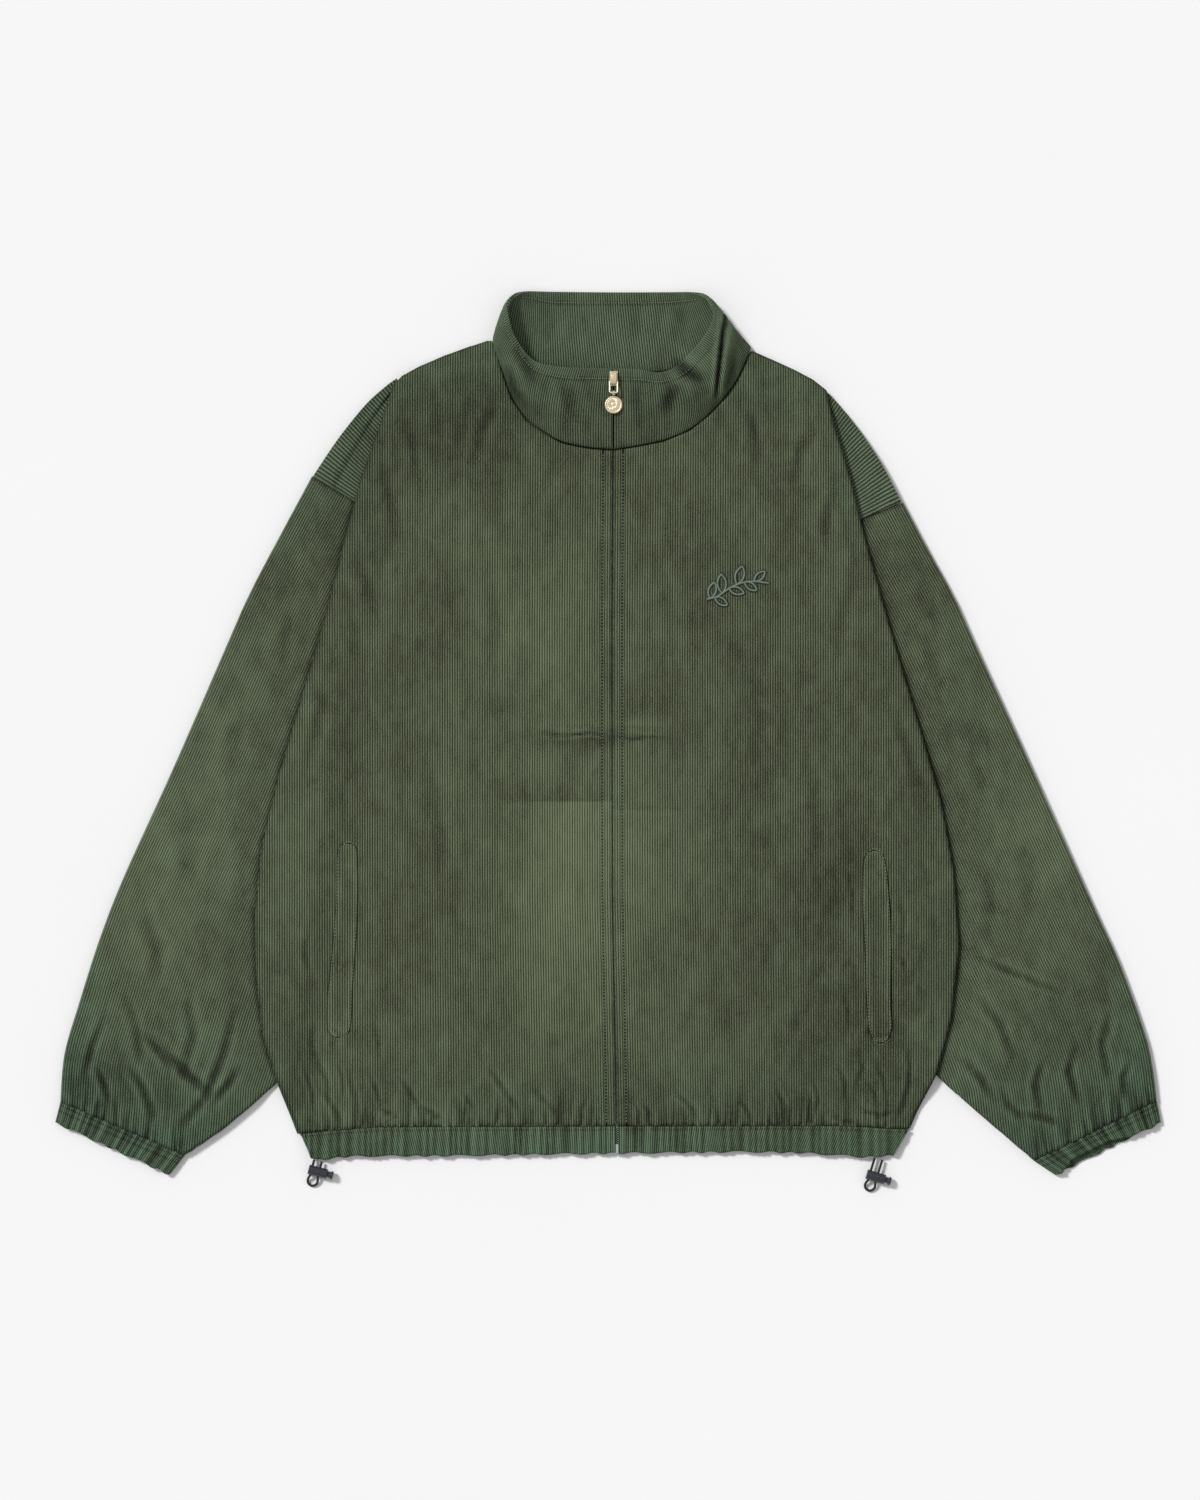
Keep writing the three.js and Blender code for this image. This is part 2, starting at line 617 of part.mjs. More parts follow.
// Gathered band: waves along the hem between the seam and the edge.
function hemBand(name, leftSeam, leftEdge, rightSeam, rightEdge, gathers, steps, undersideAt, waveAt) {
  const columns = gathers * 4;
  const rows = Array.from({ length: steps + 1 }, (_, i) => i / steps);
  const plan = rows.map((down) =>
    Array.from({ length: columns + 1 }, (_, j) => {
      const across = j / columns;
      const x = lerp(lerp(leftSeam, rightSeam, across), lerp(leftEdge, rightEdge, across), down);
      const seam = lookUp(HEM_SEAM, "x", "y", x) - 2 * SEAM;
      const y = lerp(seam, lookUp(HEM_EDGE, "x", "y", x), down);
      const wave = Math.sin((j * Math.PI) / 2 + 0.4 * Math.sin(j * 0.9)) * (0.75 + 0.25 * Math.sin(j * 1.7));
      return [x, y, wave];
    }),
  );
  const bottom = plan.map((row) => row.map(([x, y, wave]) => [x, y, undersideAt(wave)]));
  const top = plan.map((row) => row.map(([x, y, wave]) => [x, y, undersideAt(wave) + waveAt(wave)]));
  addMesh(name, wallGeometry(top, bottom), OLIVE);
}

function hemBands() {
  const [left, right] = [HEM_SIDES.left, HEM_SIDES.right];
  const [seamZip, edgeZip] = [zipLine(-354), zipLine(-380)];
  const raised = (wave) => 4.2 + BAND_WAVE * wave;
  const evenCloth = () => CLOTH;
  hemBand("hem_band_front_left", left.seam, left.edge, seamZip - HEM_SLIT, edgeZip - HEM_SLIT,
    FRONT_GATHERS, 2, raised, evenCloth);
  hemBand("hem_band_front_right", seamZip + HEM_SLIT, edgeZip + HEM_SLIT, right.seam, right.edge,
    FRONT_GATHERS, 2, raised, evenCloth);
  hemBand("hem_band_back", left.seam, left.edge, right.seam, right.edge,
    BACK_GATHERS, 1, () => 0, (wave) => CLOTH + 0.4 + 0.4 * wave);
}

// The collar: a stand of double cloth, open at the zip.
function collar() {
  const count = COLLAR_SECTIONS.length;
  const middle = COLLAR_SECTIONS.map(({ foot, belly, lip }) =>
    COLLAR_STEPS.map((v) => {
      const weights = [2 * (v - 0.5) * (v - 1), -4 * v * (v - 1), 2 * v * (v - 0.5)];
      return new THREE.Vector3(
        ...[0, 1, 2].map((axis) => weights[0] * foot[axis] + weights[1] * belly[axis] + weights[2] * lip[axis]),
      );
    }),
  );
  const normalAt = (i, j) => {
    const last = COLLAR_STEPS.length - 1;
    const around = middle[Math.min(i + 1, count - 1)][j].clone().sub(middle[Math.max(i - 1, 0)][j]);
    const up = middle[i][Math.min(j + 1, last)].clone().sub(middle[i][Math.max(j - 1, 0)]);
    return around.cross(up).normalize();
  };
  const layer = (offset) =>
    middle.map((row, i) =>
      row.map((point, j) => {
        const moved = point.clone().addScaledVector(normalAt(i, j), offset);
        if (i === 0 || i === count - 1) moved.x = point.x;
        moved.z = Math.max(offset > 0 ? 0 : COLLAR_CLOTH * 0.8, moved.z);
        return moved.toArray();
      }),
    );
  addMesh("collar", wallGeometry(layer(COLLAR_CLOTH / 2), layer(-COLLAR_CLOTH / 2)), OLIVE);
}

// Height of a faceted grid surface above a place in plan.
function heightOn(grid, x, y) {
  const ray = new THREE.Vector2(x, y);
  let best = -Infinity;
  const test = (a, b, c) => {
    const area = (p, q, r) => (q[0] - p[0]) * (r[1] - p[1]) - (r[0] - p[0]) * (q[1] - p[1]);
    const whole = area(a, b, c);
    if (Math.abs(whole) < 1e-9) return;
    const point = ray.toArray();
    const [u, v, w] = [area(point, b, c) / whole, area(a, point, c) / whole, area(a, b, point) / whole];
    if (Math.min(u, v, w) > -1e-6) best = Math.max(best, u * a[2] + v * b[2] + w * c[2]);
  };
  for (let i = 0; i < grid.length - 1; i++) {
    for (let j = 0; j < grid[0].length - 1; j++) {
      test(grid[i][j], grid[i][j + 1], grid[i + 1][j + 1]);
      test(grid[i][j], grid[i + 1][j + 1], grid[i + 1][j]);
    }
  }
  return best;
}

function pocketWelt(side, panelTop) {
  const bottom = WELTS[side].map(({ y, near, far }) =>
    [0, 1 / 3, 2 / 3, 1].map((t) => {
      const x = lerp(Math.min(near, far), Math.max(near, far), t);
      return [x, y, heightOn(panelTop, x, y) + WELT_LIFT];
    }),
  );
  addMesh(`pocket_welt_${side}`, wallGeometry(lifted(bottom, WELT_THICKNESS), bottom), OLIVE);
}

// The zip's tapes lie under the fronts' edges, on the back.
function zipTape(side) {
  const rows = BODY_ROWS.map((y) => Math.max(y, -351)).concat(250);
  const bottom = rows.map((y) => {
    const inner = zipLine(y) + sign[side] * SLIT;
    const outer = inner + sign[side] * TAPE_WIDTH;
    return [
      [Math.min(inner, outer), y, CLOTH + LAYER_GAP],
      [Math.max(inner, outer), y, CLOTH + LAYER_GAP],
    ];
  });
  addMesh(`zip_tape_${side}`, wallGeometry(lifted(bottom, TAPE_THICKNESS), bottom), OLIVE);
}

// Booleans on closed meshes
function toSolid(geometry) {
  const plain = geometry.clone();
  plain.deleteAttribute("normal");
  plain.deleteAttribute("uv");
  const merged = mergeVertices(plain, 1e-4);
  const vertProperties = new Float32Array(merged.getAttribute("position").array);
  return new wasm.Manifold(
    new wasm.Mesh({ numProp: 3, vertProperties, triVerts: new Uint32Array(merged.getIndex().array) }),
  );
}

function fromSolid(solid) {
  const mesh = solid.getMesh();
  const geometry = new THREE.BufferGeometry();
  geometry.setAttribute("position", new THREE.BufferAttribute(new Float32Array(mesh.vertProperties), 3));
  geometry.setIndex(new THREE.BufferAttribute(new Uint32Array(mesh.triVerts), 1));
  return geometry;
}

const boxAt = (width, depth, height, x, y, z) => new THREE.BoxGeometry(width, depth, height).translate(x, y, z);
const cylinderAlongX = (radius, length, sides, x) =>
  new THREE.CylinderGeometry(radius, radius, length, sides).rotateZ(Math.PI / 2).translate(x, 0, 0);

// The slider: a plate on the collar with an arch that the pull hangs from.
function zipSlider() {
  const { x, y, length, width, plate, archWidth } = ZIP.slider;
  const base = 16.1;
  const arch = new THREE.Shape();
  const reach = length / 2 - 0.6;
  arch.moveTo(-reach, 0);
  arch.lineTo(-reach + 0.6, 3.6);
  arch.quadraticCurveTo(-reach + 1.4, 6, 0, 6.2);
  arch.quadraticCurveTo(reach - 1.4, 6, reach - 0.6, 3.6);
  arch.lineTo(reach, 0);
  const hole = new THREE.Path();
  hole.moveTo(-reach + 1.7, plate - 0.1);
  hole.lineTo(reach - 1.7, plate - 0.1);
  hole.lineTo(reach - 2.1, 3.5);
  hole.quadraticCurveTo(reach - 2.8, 4.7, 0, 4.9);
  hole.quadraticCurveTo(-reach + 2.8, 4.7, -reach + 2.1, 3.5);
  hole.closePath();
  arch.holes.push(hole);
  const archBody = new THREE.ExtrudeGeometry(arch, { depth: archWidth, bevelEnabled: false, curveSegments: 6 })
    .translate(0, 0, -archWidth / 2)
    .rotateX(Math.PI / 2)
    .rotateZ(Math.PI / 2)
    .translate(x, y, base);
  const plateBody = boxAt(width, length, plate, x, y, base + plate / 2);
  addMesh("zip_slider", fromSolid(toSolid(plateBody).add(toSolid(archBody))), GOLD);
}

// A closed loop of round bar through points in order.
function loopBar(points, radius, sides) {
  const curve = new THREE.CatmullRomCurve3(points, true, "centripetal");
  const count = points.length * 2;
  const rings = Array.from({ length: count }, (_, i) => {
    const centre = curve.getPoint(i / count);
    const along = curve.getTangent(i / count);
    const across = new THREE.Vector3(0, 0, 1).cross(along).normalize();
    return Array.from({ length: sides }, (_, k) => {
      const angle = (k / sides) * 2 * Math.PI;
      return centre
        .clone()
        .addScaledVector(across, radius * Math.cos(angle))
        .add(new THREE.Vector3(0, 0, radius * Math.sin(angle)))
        .toArray();
    });
  });
  const triangles = [];
  const at = (i, k) => (i % count) * sides + (k % sides);
  for (let i = 0; i < count; i++) {
    for (let k = 0; k < sides; k++) {
      triangles.push([at(i, k), at(i + 1, k), at(i + 1, k + 1)], [at(i, k), at(i + 1, k + 1), at(i, k + 1)]);
    }
  }
  return facingOut(closedGeometry(rings.flat(), triangles));
}

// The pull: a link through the arch and a coin hooked on it, both lying on the collar.
function zipPull() {
  const { halfWidth, length, bar, corner, tilt } = LINK;
  const outline = [
    [-halfWidth + corner, 0],
    [halfWidth - corner, 0],
    [halfWidth - 0.35, -0.35],
    [halfWidth, -corner],
    [halfWidth, -length / 2],
    [halfWidth, corner - length],
    [halfWidth - 0.35, 0.35 - length],
    [halfWidth - corner, -length],
    [corner - halfWidth, -length],
    [0.35 - halfWidth, 0.35 - length],
    [-halfWidth, corner - length],
    [-halfWidth, -length / 2],
    [-halfWidth, -corner],
    [0.35 - halfWidth, -0.35],
  ].map(([x, y]) => new THREE.Vector3(x, y, 0));
  const link = addMesh("zip_pull_link", loopBar(outline, bar, 8), GOLD);
  link.position.set(LINK_PIVOT.x, LINK_PIVOT.y, LINK_PIVOT.z);
  link.rotation.x = -tilt;

  const hook = new THREE.Vector3(0, -length, 0).applyAxisAngle(new THREE.Vector3(1, 0, 0), -tilt).add(link.position);
  const { radius, thickness, eye, eyeHole, eyeWidth } = MEDALLION;
  const drop = -1.1; // the coin lies this much lower than the bar that it hangs on
  const centreY = -(radius + eye + 0.4);
  const coin = new THREE.CylinderGeometry(radius, radius, thickness, 32).rotateX(Math.PI / 2).translate(0, centreY, drop);
  const neck = boxAt(eyeWidth, 2.6, 1.5, 0, -eye - 0.6, drop + 0.1);
  const eyeBody = cylinderAlongX(eye, eyeWidth, 16, 0);
  const eyeBore = cylinderAlongX(eyeHole, eyeWidth + 2, 16, 0);
  const solid = toSolid(coin).add(toSolid(neck)).add(toSolid(eyeBody)).subtract(toSolid(eyeBore));
  const medallion = addMesh("zip_pull_medallion", fromSolid(solid), GOLD);
  medallion.position.copy(hook);
}

function zipBox() {
  addMesh("zip_box", boxAt(2 * HEM_SLIT - 0.6, 8.4, 2.8, zipLine(-376), -374.4, 4.8), NICKEL);
}

// Cord lock in its own frame: the barrel along X with its closed end at x = 0, the cords through it along Y.
function cordLock(side) {
  const { radius, length, bore, slot, slotHeight, slotCentre, travel } = LOCK;
  const place = LOCKS[side];
  const group = new THREE.Group();
  group.position.set(place.x, place.y, LOCK_HEIGHT);
  group.rotation.z = place.angle;
  solidMeshes.add(group);

  const boreDepth = length - slotCentre;
  const barrelSolid = toSolid(cylinderAlongX(radius, length, 20, length / 2 - slotCentre))
    .subtract(toSolid(cylinderAlongX(bore, boreDepth, 16, length - slotCentre - boreDepth / 2 + 0.01)))
    .subtract(toSolid(boxAt(slot, 3 * radius, slotHeight, 0, 0, 0)));
  const barrel = addMesh(`cord_lock_barrel_${side}`, fromSolid(barrelSolid), BLACK_PLASTIC);
  group.add(barrel);

  const { stem, stemLength, neck, head, headLength } = BUTTON;
  const tip = length - slotCentre + travel + LAYER_GAP - stemLength;
  const profile = [
    [0, 0],
    [stem, 0],
    [stem, stemLength - travel],
    [neck, stemLength],
    [head, stemLength + 0.3],
    [head, stemLength + headLength - 0.6],
    [head - 0.8, stemLength + headLength],
    [0, stemLength + headLength],
  ].map(([r, h]) => new THREE.Vector2(r, h));
  const buttonGeometry = new THREE.LatheGeometry(profile, 16).rotateZ(-Math.PI / 2).translate(tip, 0, 0);
  const plainButton = fromSolid(toSolid(buttonGeometry));
  group.add(addMesh(`cord_lock_button_${side}`, facingOut(plainButton), BLACK_PLASTIC));

  group.add(drawCord(side, place.toHem));
}

// Half the route of the drawcord's loop in the lock's frame, from the hem through the barrel and out to its foot.
function cordRoute(toHem) {
  const { radius } = LOCK;
  const exitDrop = LOCK_HEIGHT - CORD_EXIT_HEIGHT;
  const half = [
    [CORD_RUN, toHem, -exitDrop],
    [CORD_RUN, toHem * 0.5 + radius * 0.5, -exitDrop * 0.5],
    [CORD_RUN, radius, -0.1],
    [CORD_RUN, 0, 0],
    [CORD_RUN, -radius, -0.1],
    [CORD_RUN + 0.25, -radius - 1.6, -0.5],
    [CORD_RUN + 0.8, -radius - 3.2, -1.3],
    [LOOP_RADIUS, -radius - 4.9, -2.1],
    [LOOP_RADIUS * 0.93, -radius - 6.6, -2.7],
    [LOOP_RADIUS * 0.68, -radius - 8.2, -3],
    [LOOP_RADIUS * 0.36, -radius - 9.1, LOOP_FLOOR - LOCK_HEIGHT],
  ];
  const other = half.map(([x, y, z]) => [-x, y, z]).reverse();
  return [...half, [0, -radius - 9.45, LOOP_FLOOR - LOCK_HEIGHT], ...other];
}

function drawCord(side, toHem) {
  const path = new THREE.CatmullRomCurve3(cordRoute(toHem).map((p) => new THREE.Vector3(...p)), false, "centripetal");
  const ring = new THREE.Shape();
  ring.absarc(0, 0, CORD_DIAMETER / 2, 0, 2 * Math.PI, false);
  const geometry = new THREE.ExtrudeGeometry(ring, { steps: 26, curveSegments: 4, extrudePath: path });
  const solid = fromSolid(toSolid(geometry));
  return addMesh(`draw_cord_${side}`, facingOut(solid), BLACK_CORD);
}

backPanel();
collar();
for (const side of ["left", "right"]) {
  const panelTop = frontPanel(side);
  pocketWelt(side, panelTop);
  zipTape(side);
  shoulderInset(side);
  cuff(side, sleeve(side));
  cordLock(side);
}
hemBands();
zipSlider();
zipPull();
zipBox();

export default solidMeshes;
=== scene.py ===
"""A corduroy zip jacket laid flat on its back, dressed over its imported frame.

Lengths in this script are millimetres unless a name says otherwise, and meshes are turned to metres when they
are made. Left and right are the viewer's, so left is -X. +Y points to the collar and +Z up off the surface.
"""

import logging
import math
from dataclasses import dataclass, field
from enum import Enum
from typing import Callable

import bmesh
import bpy
import numpy as np
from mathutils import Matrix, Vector

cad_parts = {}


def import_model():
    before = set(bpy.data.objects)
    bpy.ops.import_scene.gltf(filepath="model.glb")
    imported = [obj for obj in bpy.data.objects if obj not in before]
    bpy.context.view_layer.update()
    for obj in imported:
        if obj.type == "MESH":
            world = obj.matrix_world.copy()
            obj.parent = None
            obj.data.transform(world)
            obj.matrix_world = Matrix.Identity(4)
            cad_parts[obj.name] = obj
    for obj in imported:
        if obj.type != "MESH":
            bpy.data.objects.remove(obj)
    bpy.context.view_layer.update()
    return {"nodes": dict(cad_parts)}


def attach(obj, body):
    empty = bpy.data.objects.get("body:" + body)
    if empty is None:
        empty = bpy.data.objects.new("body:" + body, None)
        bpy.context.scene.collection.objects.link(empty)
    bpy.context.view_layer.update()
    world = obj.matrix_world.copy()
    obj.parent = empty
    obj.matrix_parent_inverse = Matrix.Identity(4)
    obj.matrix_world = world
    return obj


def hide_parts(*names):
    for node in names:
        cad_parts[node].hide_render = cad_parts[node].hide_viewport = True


log = logging.getLogger("jacket")

Array = np.ndarray
Point = tuple[float, float]

METRE = 0.001
WALE = 2.25
# Wales of the insets, measured down the armhole, which they cross on the slant
INSET_WALE = 1.35 * WALE
WALE_PHASES = (0.0, 0.22, 0.5, 0.78)
WALE_RELIEF = 0.42
CLOTH = 2.0
LINING_STEP = 8

SLEEVE_LOW = 4.6
SLEEVE_RISE = 3.0
OUT_MARGIN = 5.0
BODY_LIFT = 5.0
BODY_AIR = 2.4
LAYER_GAP = 0.3
SLIT = 0.4
HEM_SLIT = 1.6


class Side(Enum):
    """The viewer's left or right half of the jacket."""

    LEFT = "left"
    RIGHT = "right"

    @property
    def sign(self) -> float:
        """-1 on the left and 1 on the right."""
        return -1.0 if self is Side.LEFT else 1.0


LEFT, RIGHT = Side.LEFT, Side.RIGHT

# Side edge of the body as (x, y), from the shoulder down to the hem seam
BODY_EDGE: dict[Side, list[Point]] = {
    LEFT: [
        (-109, 352), (-147.1, 338.8), (-168.8, 329.4), (-185, 320.2), (-193.5, 310.7), (-204.3, 278.3),
        (-221.4, 230.6), (-237, 171.2), (-255.2, 100.1), (-278.1, 21.8), (-296.6, -42.1), (-311.4, -104.2),
        (-317.3, -166.3), (-315.9, -223.9), (-310.5, -271.6), (-296.2, -313.9), (-279.5, -354),
    ],
    RIGHT: [
        (130.5, 342.5), (149.8, 334.1), (168.3, 325.6), (183.9, 317), (196.2, 307.1), (200.7, 284.6),
        (217.8, 228.8), (230.4, 176.1), (252.9, 95.6), (280.8, 2), (299.1, -61), (310.5, -125.2),
        (315.2, -191.8), (308.3, -256.1), (294.5, -307.8), (277.9, -339.1), (271.5, -354),
    ],
}
# Index of the widest place in each side edge
WIDEST = {LEFT: 12, RIGHT: 12}
FRONT_NECK: dict[Side, list[Point]] = {
    LEFT: [
        (4.2, 253), (-18.9, 254.8), (-41.4, 259.4), (-58.5, 268), (-73.8, 280.1), (-87.3, 299),
        (-94.5, 319.7), (-104, 352),
    ],
    RIGHT: [
        (5, 253), (27.9, 256.7), (50.4, 261.2), (73.8, 271.1), (91.8, 285.5), (107.1, 302.6),
        (117, 316.1), (127.5, 342.5),
    ],
}
BACK_TOP: list[Point] = [
    (-193.5, 310.7), (-168.8, 329.4), (-147.1, 338.8), (-123.8, 347.4), (-105, 351), (-80, 334), (-45, 323.5),
    (10, 318.5), (60, 323), (100, 333), (130, 341.5), (149.8, 334.1), (168.3, 325.6), (196.2, 307.1),
]
HEM_SEAM: list[Point] = [
    (-280, -361), (-250, -358), (-206, -354.6), (0, -354), (215, -353.6), (250, -356), (272, -356.5),
]
HEM_EDGE: list[Point] = [
    (-269, -382.2), (-261, -384.6), (-232, -381.1), (-150, -380.8), (0, -378.5), (125, -377.1),
    (179, -378.2), (230, -382), (258, -380.5),
]
HEM_SIDES = {LEFT: (-276.5, -267.0), RIGHT: (270.5, 256.5)}
# The zip's line as (y, x)
ZIP_LINE: list[Point] = [(-385, 8.2), (-354, 7.8), (-150, 4), (100, 3.7), (254, 4.6), (330, 4.8)]
ZIP_MIDDLE = 4.4

SLEEVE_OUTER: dict[Side, list[Point]] = {
    LEFT: [
        (-266.4, 229.8), (-291.2, 183.8), (-322.2, 124.9), (-344.7, 74), (-389.7, -29.5), (-434.7, -128.5),
        (-456.5, -184), (-474.8, -241), (-488.7, -289.2), (-492.4, -332),
    ],
    RIGHT: [
        (265.6, 206), (286.2, 166.7), (311, 121.7), (330.3, 78.5), (379.8, -29.5), (434.1, -151),
        (459.9, -207.7), (482.3, -269.8), (489.2, -299), (493.4, -331.6),
    ],
}
SLEEVE_INNER: dict[Side, list[Point]] = {
    LEFT: [
        (-219, 201), (-239, 120), (-250, 24.5), (-262, -70), (-272.7, -151), (-285, -250),
        (-296.6, -314.3), (-322.2, -337.3), (-347.4, -358), (-380.7, -380.5),
    ],
    RIGHT: [
        (217, 185), (233, 120), (247, 24.5), (260, -70), (270, -151), (283, -250),
        (294.6, -307.6), (311.8, -324), (349.7, -356.7), (383, -385.2),
    ],
}
NOTCH = 6  # the sleeve's inner edge turns to the cuff at this point
# Sections of the shoulder inset, each (inner x, inner y, outer x, outer y), from its tip to the cross seam
INSET_SECTIONS: dict[Side, list[tuple[float, float, float, float]]] = {
    LEFT: [
        (-183, 306, -190.3, 318.4), (-189.5, 299, -199.8, 311.4), (-197, 279, -215.2, 297.7),
        (-205, 253, -230.4, 280), (-212, 228, -246, 259.4), (-218.8, 201.8, -265.4, 230.2),
    ],
    RIGHT: [
        (187, 295, 194.8, 308), (193, 285.5, 202.5, 300.8), (198.9, 262.5, 216.5, 284.4),
        (204.8, 239, 231.5, 264.3), (211.2, 210.5, 248, 238), (216.8, 185.8, 264, 207),
    ],
}
# The inset's edge beneath the body
HIDDEN_SHOULDER: dict[Side, list[Point]] = {
    LEFT: [(-189.5, 313), (-189.5, 301), (-197, 279), (-205, 253), (-212, 228)],
    RIGHT: [(190.5, 302.6), (190.5, 297), (196, 274), (203, 246), (210, 216)],
}
# Hand end of each cuff: inner and outer corner
CUFF_ENDS: dict[Side, tuple[Point, Point]] = {
    LEFT: ((-394, -397.8), (-497.2, -350.8)),
    RIGHT: ((402.5, -398.2), (497.3, -350.8)),
}
# The collar's foot, belly and lip, from the zip round the right side, the back and the left side
COLLAR_SECTIONS = [
    ((5.3, 254.6, 5.6), (5.3, 292, 12.8), (5.3, 326, 14.2)),
    ((30, 258.6, 5.6), (30, 292, 13), (28, 325.4, 14.4)),
    ((52, 263.8, 5.7), (52, 293, 13.4), (46, 322.6, 15)),
    ((73, 273.2, 5.8), (76, 302, 14.5), (62, 328.5, 16.5)),
    ((90.3, 287, 6), (93, 316, 16.5), (74, 340.5, 18.5)),
    ((105.2, 304, 6.2), (105, 332, 18.5), (84.5, 352.5, 21)),
    ((115, 318, 6.6), (108.5, 345, 20), (91.5, 364, 22.5)),
    ((123, 334, 6.6), (108, 357, 19), (94, 375, 22)),
    ((127.5, 345.5, 4.2), (104.5, 369, 14), (91.5, 385, 19)),
    ((118, 345, 1.9), (98, 379, 7), (86, 391.5, 13)),
    ((100, 337, 1.5), (84, 370, 1.8), (76, 395.3, 7)),
    ((60, 326.5, 1.5), (55, 362, 1.5), (50, 395.8, 3)),
    ((10, 321.5, 1.5), (5, 360, 1.5), (2, 395.8, 2)),
    ((-45, 327, 1.5), (-47, 362, 1.5), (-48, 396.2, 3)),
    ((-80, 338, 1.5), (-75, 374, 1.8), (-74, 396, 7)),
    ((-96, 349.5, 1.9), (-91, 380, 7), (-84.5, 391, 13)),
    ((-102, 353.5, 4.2), (-97, 370, 14), (-89.5, 382, 19)),
    ((-99, 340.5, 6.4), (-98, 357, 18.5), (-88, 369, 22)),
    ((-92, 321.5, 6.6), (-93, 342, 18.5), (-84, 356, 21.5)),
    ((-85, 301.2, 6), (-84, 326, 16.5), (-74, 340.5, 19)),
    ((-72, 282.2, 5.9), (-72, 308, 14.8), (-64, 332, 17)),
    ((-57, 270.4, 5.8), (-57, 299, 13.6), (-48, 328.4, 15.4)),
    ((-40.5, 261.4, 5.7), (-40, 294, 13.2), (-32, 327, 14.6)),
    ((-18.5, 256.6, 5.6), (-18, 292.5, 12.9), (-12, 326.6, 14.3)),
    ((4, 254.6, 5.6), (4, 292, 12.8), (4, 326, 14.2)),
]
# Pocket welts as (y, edge near the zip, edge far from it)
WELTS: dict[Side, list[tuple[float, float, float]]] = {
    LEFT: [
        (-100.5, -228, -239), (-110, -225, -243), (-150, -224.3, -244.3), (-190, -226.2, -247.5),
        (-230, -229.3, -251.7), (-262, -230.8, -253), (-273, -236, -248),
    ],
    RIGHT: [
        (-107, 234, 244), (-118, 229, 249.5), (-155, 228, 253.5), (-190, 230.2, 255), (-225, 231.2, 254.6),
        (-246, 232.3, 254.6), (-266, 234, 255.5), (-278, 240, 250),
    ],
}


def smooth(low: float, high: float, value: Array) -> Array:
    """Soft step: 0 below low, 1 above high, 3t^2 - 2t^3 between them."""
    t = np.clip((value - low) / (high - low), 0.0, 1.0)
    return t * t * (3.0 - 2.0 * t)


def look_up(rows: list[Point], key: Array) -> Array:
    """The second column of a table where the first has the given key, in straight lines between rows."""
    table = np.array(sorted(rows), float)
    return np.interp(key, table[:, 0], table[:, 1])


def flipped(rows: list[Point]) -> list[Point]:
    """The same table with its two columns exchanged."""
    return [(b, a) for a, b in rows]


def body_edge(side: Side, y: Array) -> Array:
    """X of the body's side edge at the heights y."""
    return look_up(flipped(BODY_EDGE[side]), y)


def side_seam(side: Side) -> list[Point]:
    """The body's edge below its widest place, as (x, y), drawn down to the hem seam's curve."""
    rows = BODY_EDGE[side][WIDEST[side]:]
    drop = [(float(look_up(HEM_SEAM, x)) + 354.0) * float(smooth(-268.0, -354.0, y)) for x, y in rows]
    return [(x, y + fall) for (x, y), fall in zip(rows, drop)]


def zip_line(y: Array) -> Array:
    """X of the zip's middle at the heights y."""
    return look_up(ZIP_LINE, y)


def past_edge(side: Side, x: Array, y: Array) -> Array:
    """How far a place lies outside the body's side edge, negative inside it."""
    return side.sign * (x - body_edge(side, y))


def curve_through(points: Array, count: int) -> Array:
    """A smooth curve through the points: uniform Catmull-Rom, with the end points doubled.

    Args:
        points: one row for each point, of any width.
        count: number of places on the curve, ends included.

    Returns:
        The curve's places, one row each.
    """
    points = np.asarray(points, float)
    last = len(points) - 1
    place = np.linspace(0.0, last, count)
    start = np.minimum(place.astype(int), last - 1)
    t = (place - start).reshape((-1,) + (1,) * (points.ndim - 1))
    before, a = points[np.maximum(start - 1, 0)], points[start]
    b, after = points[start + 1], points[np.minimum(start + 2, last)]
    slope_a, slope_b = (b - before) / 2, (after - a) / 2
    return (
        (2 * a - 2 * b + slope_a + slope_b) * t**3
        + (-3 * a + 3 * b - 2 * slope_a - slope_b) * t**2
        + slope_a * t
        + a
    )


def nearest_on_line(line: Array, x: Array, y: Array) -> tuple[Array, Array]:
    """Distance in plan to a broken line, and how far along it the nearest place lies.

    Args:
        line: the line's corners, one (x, y) row each.
        x: places, any shape.
        y: places, the same shape.

    Returns:
        The distance, and the fraction of the line's length, 0 at its first corner.
    """
    line = np.asarray(line, float)
    lengths = np.hypot(*np.diff(line, axis=0).T)
    whole = lengths.sum()
    best = np.full(np.shape(x), np.inf)
    along = np.zeros(np.shape(x))
    walked = 0.0
    for (ax, ay), (bx, by), length in zip(line[:-1], line[1:], lengths):
        dx, dy = bx - ax, by - ay
        t = np.clip(((x - ax) * dx + (y - ay) * dy) / (length * length + 1e-12), 0.0, 1.0)
        distance = np.hypot(x - ax - t * dx, y - ay - t * dy)
        closer = distance < best
        best = np.where(closer, distance, best)
        along = np.where(closer, (walked + t * length) / whole, along)
        walked += length
    return best, along


def roundness(edge_distance: Array, radius: float) -> Array:
    """Quarter circle from 0 at the edge to 1 at the radius: sqrt(1 - (1 - e/r)^2)."""
    q = 1.0 - np.clip(edge_distance / radius, 0.0, 1.0)
    return np.sqrt(np.clip(1.0 - q * q, 0.0, 1.0))


def wale(across: Array, pitch: float = WALE) -> Array:
    """A wale's section: |sin(pi u / pitch)|^0.6, 0 in the valley and 1 on the crest."""
    return np.abs(np.sin(np.pi * across / pitch)) ** 0.6


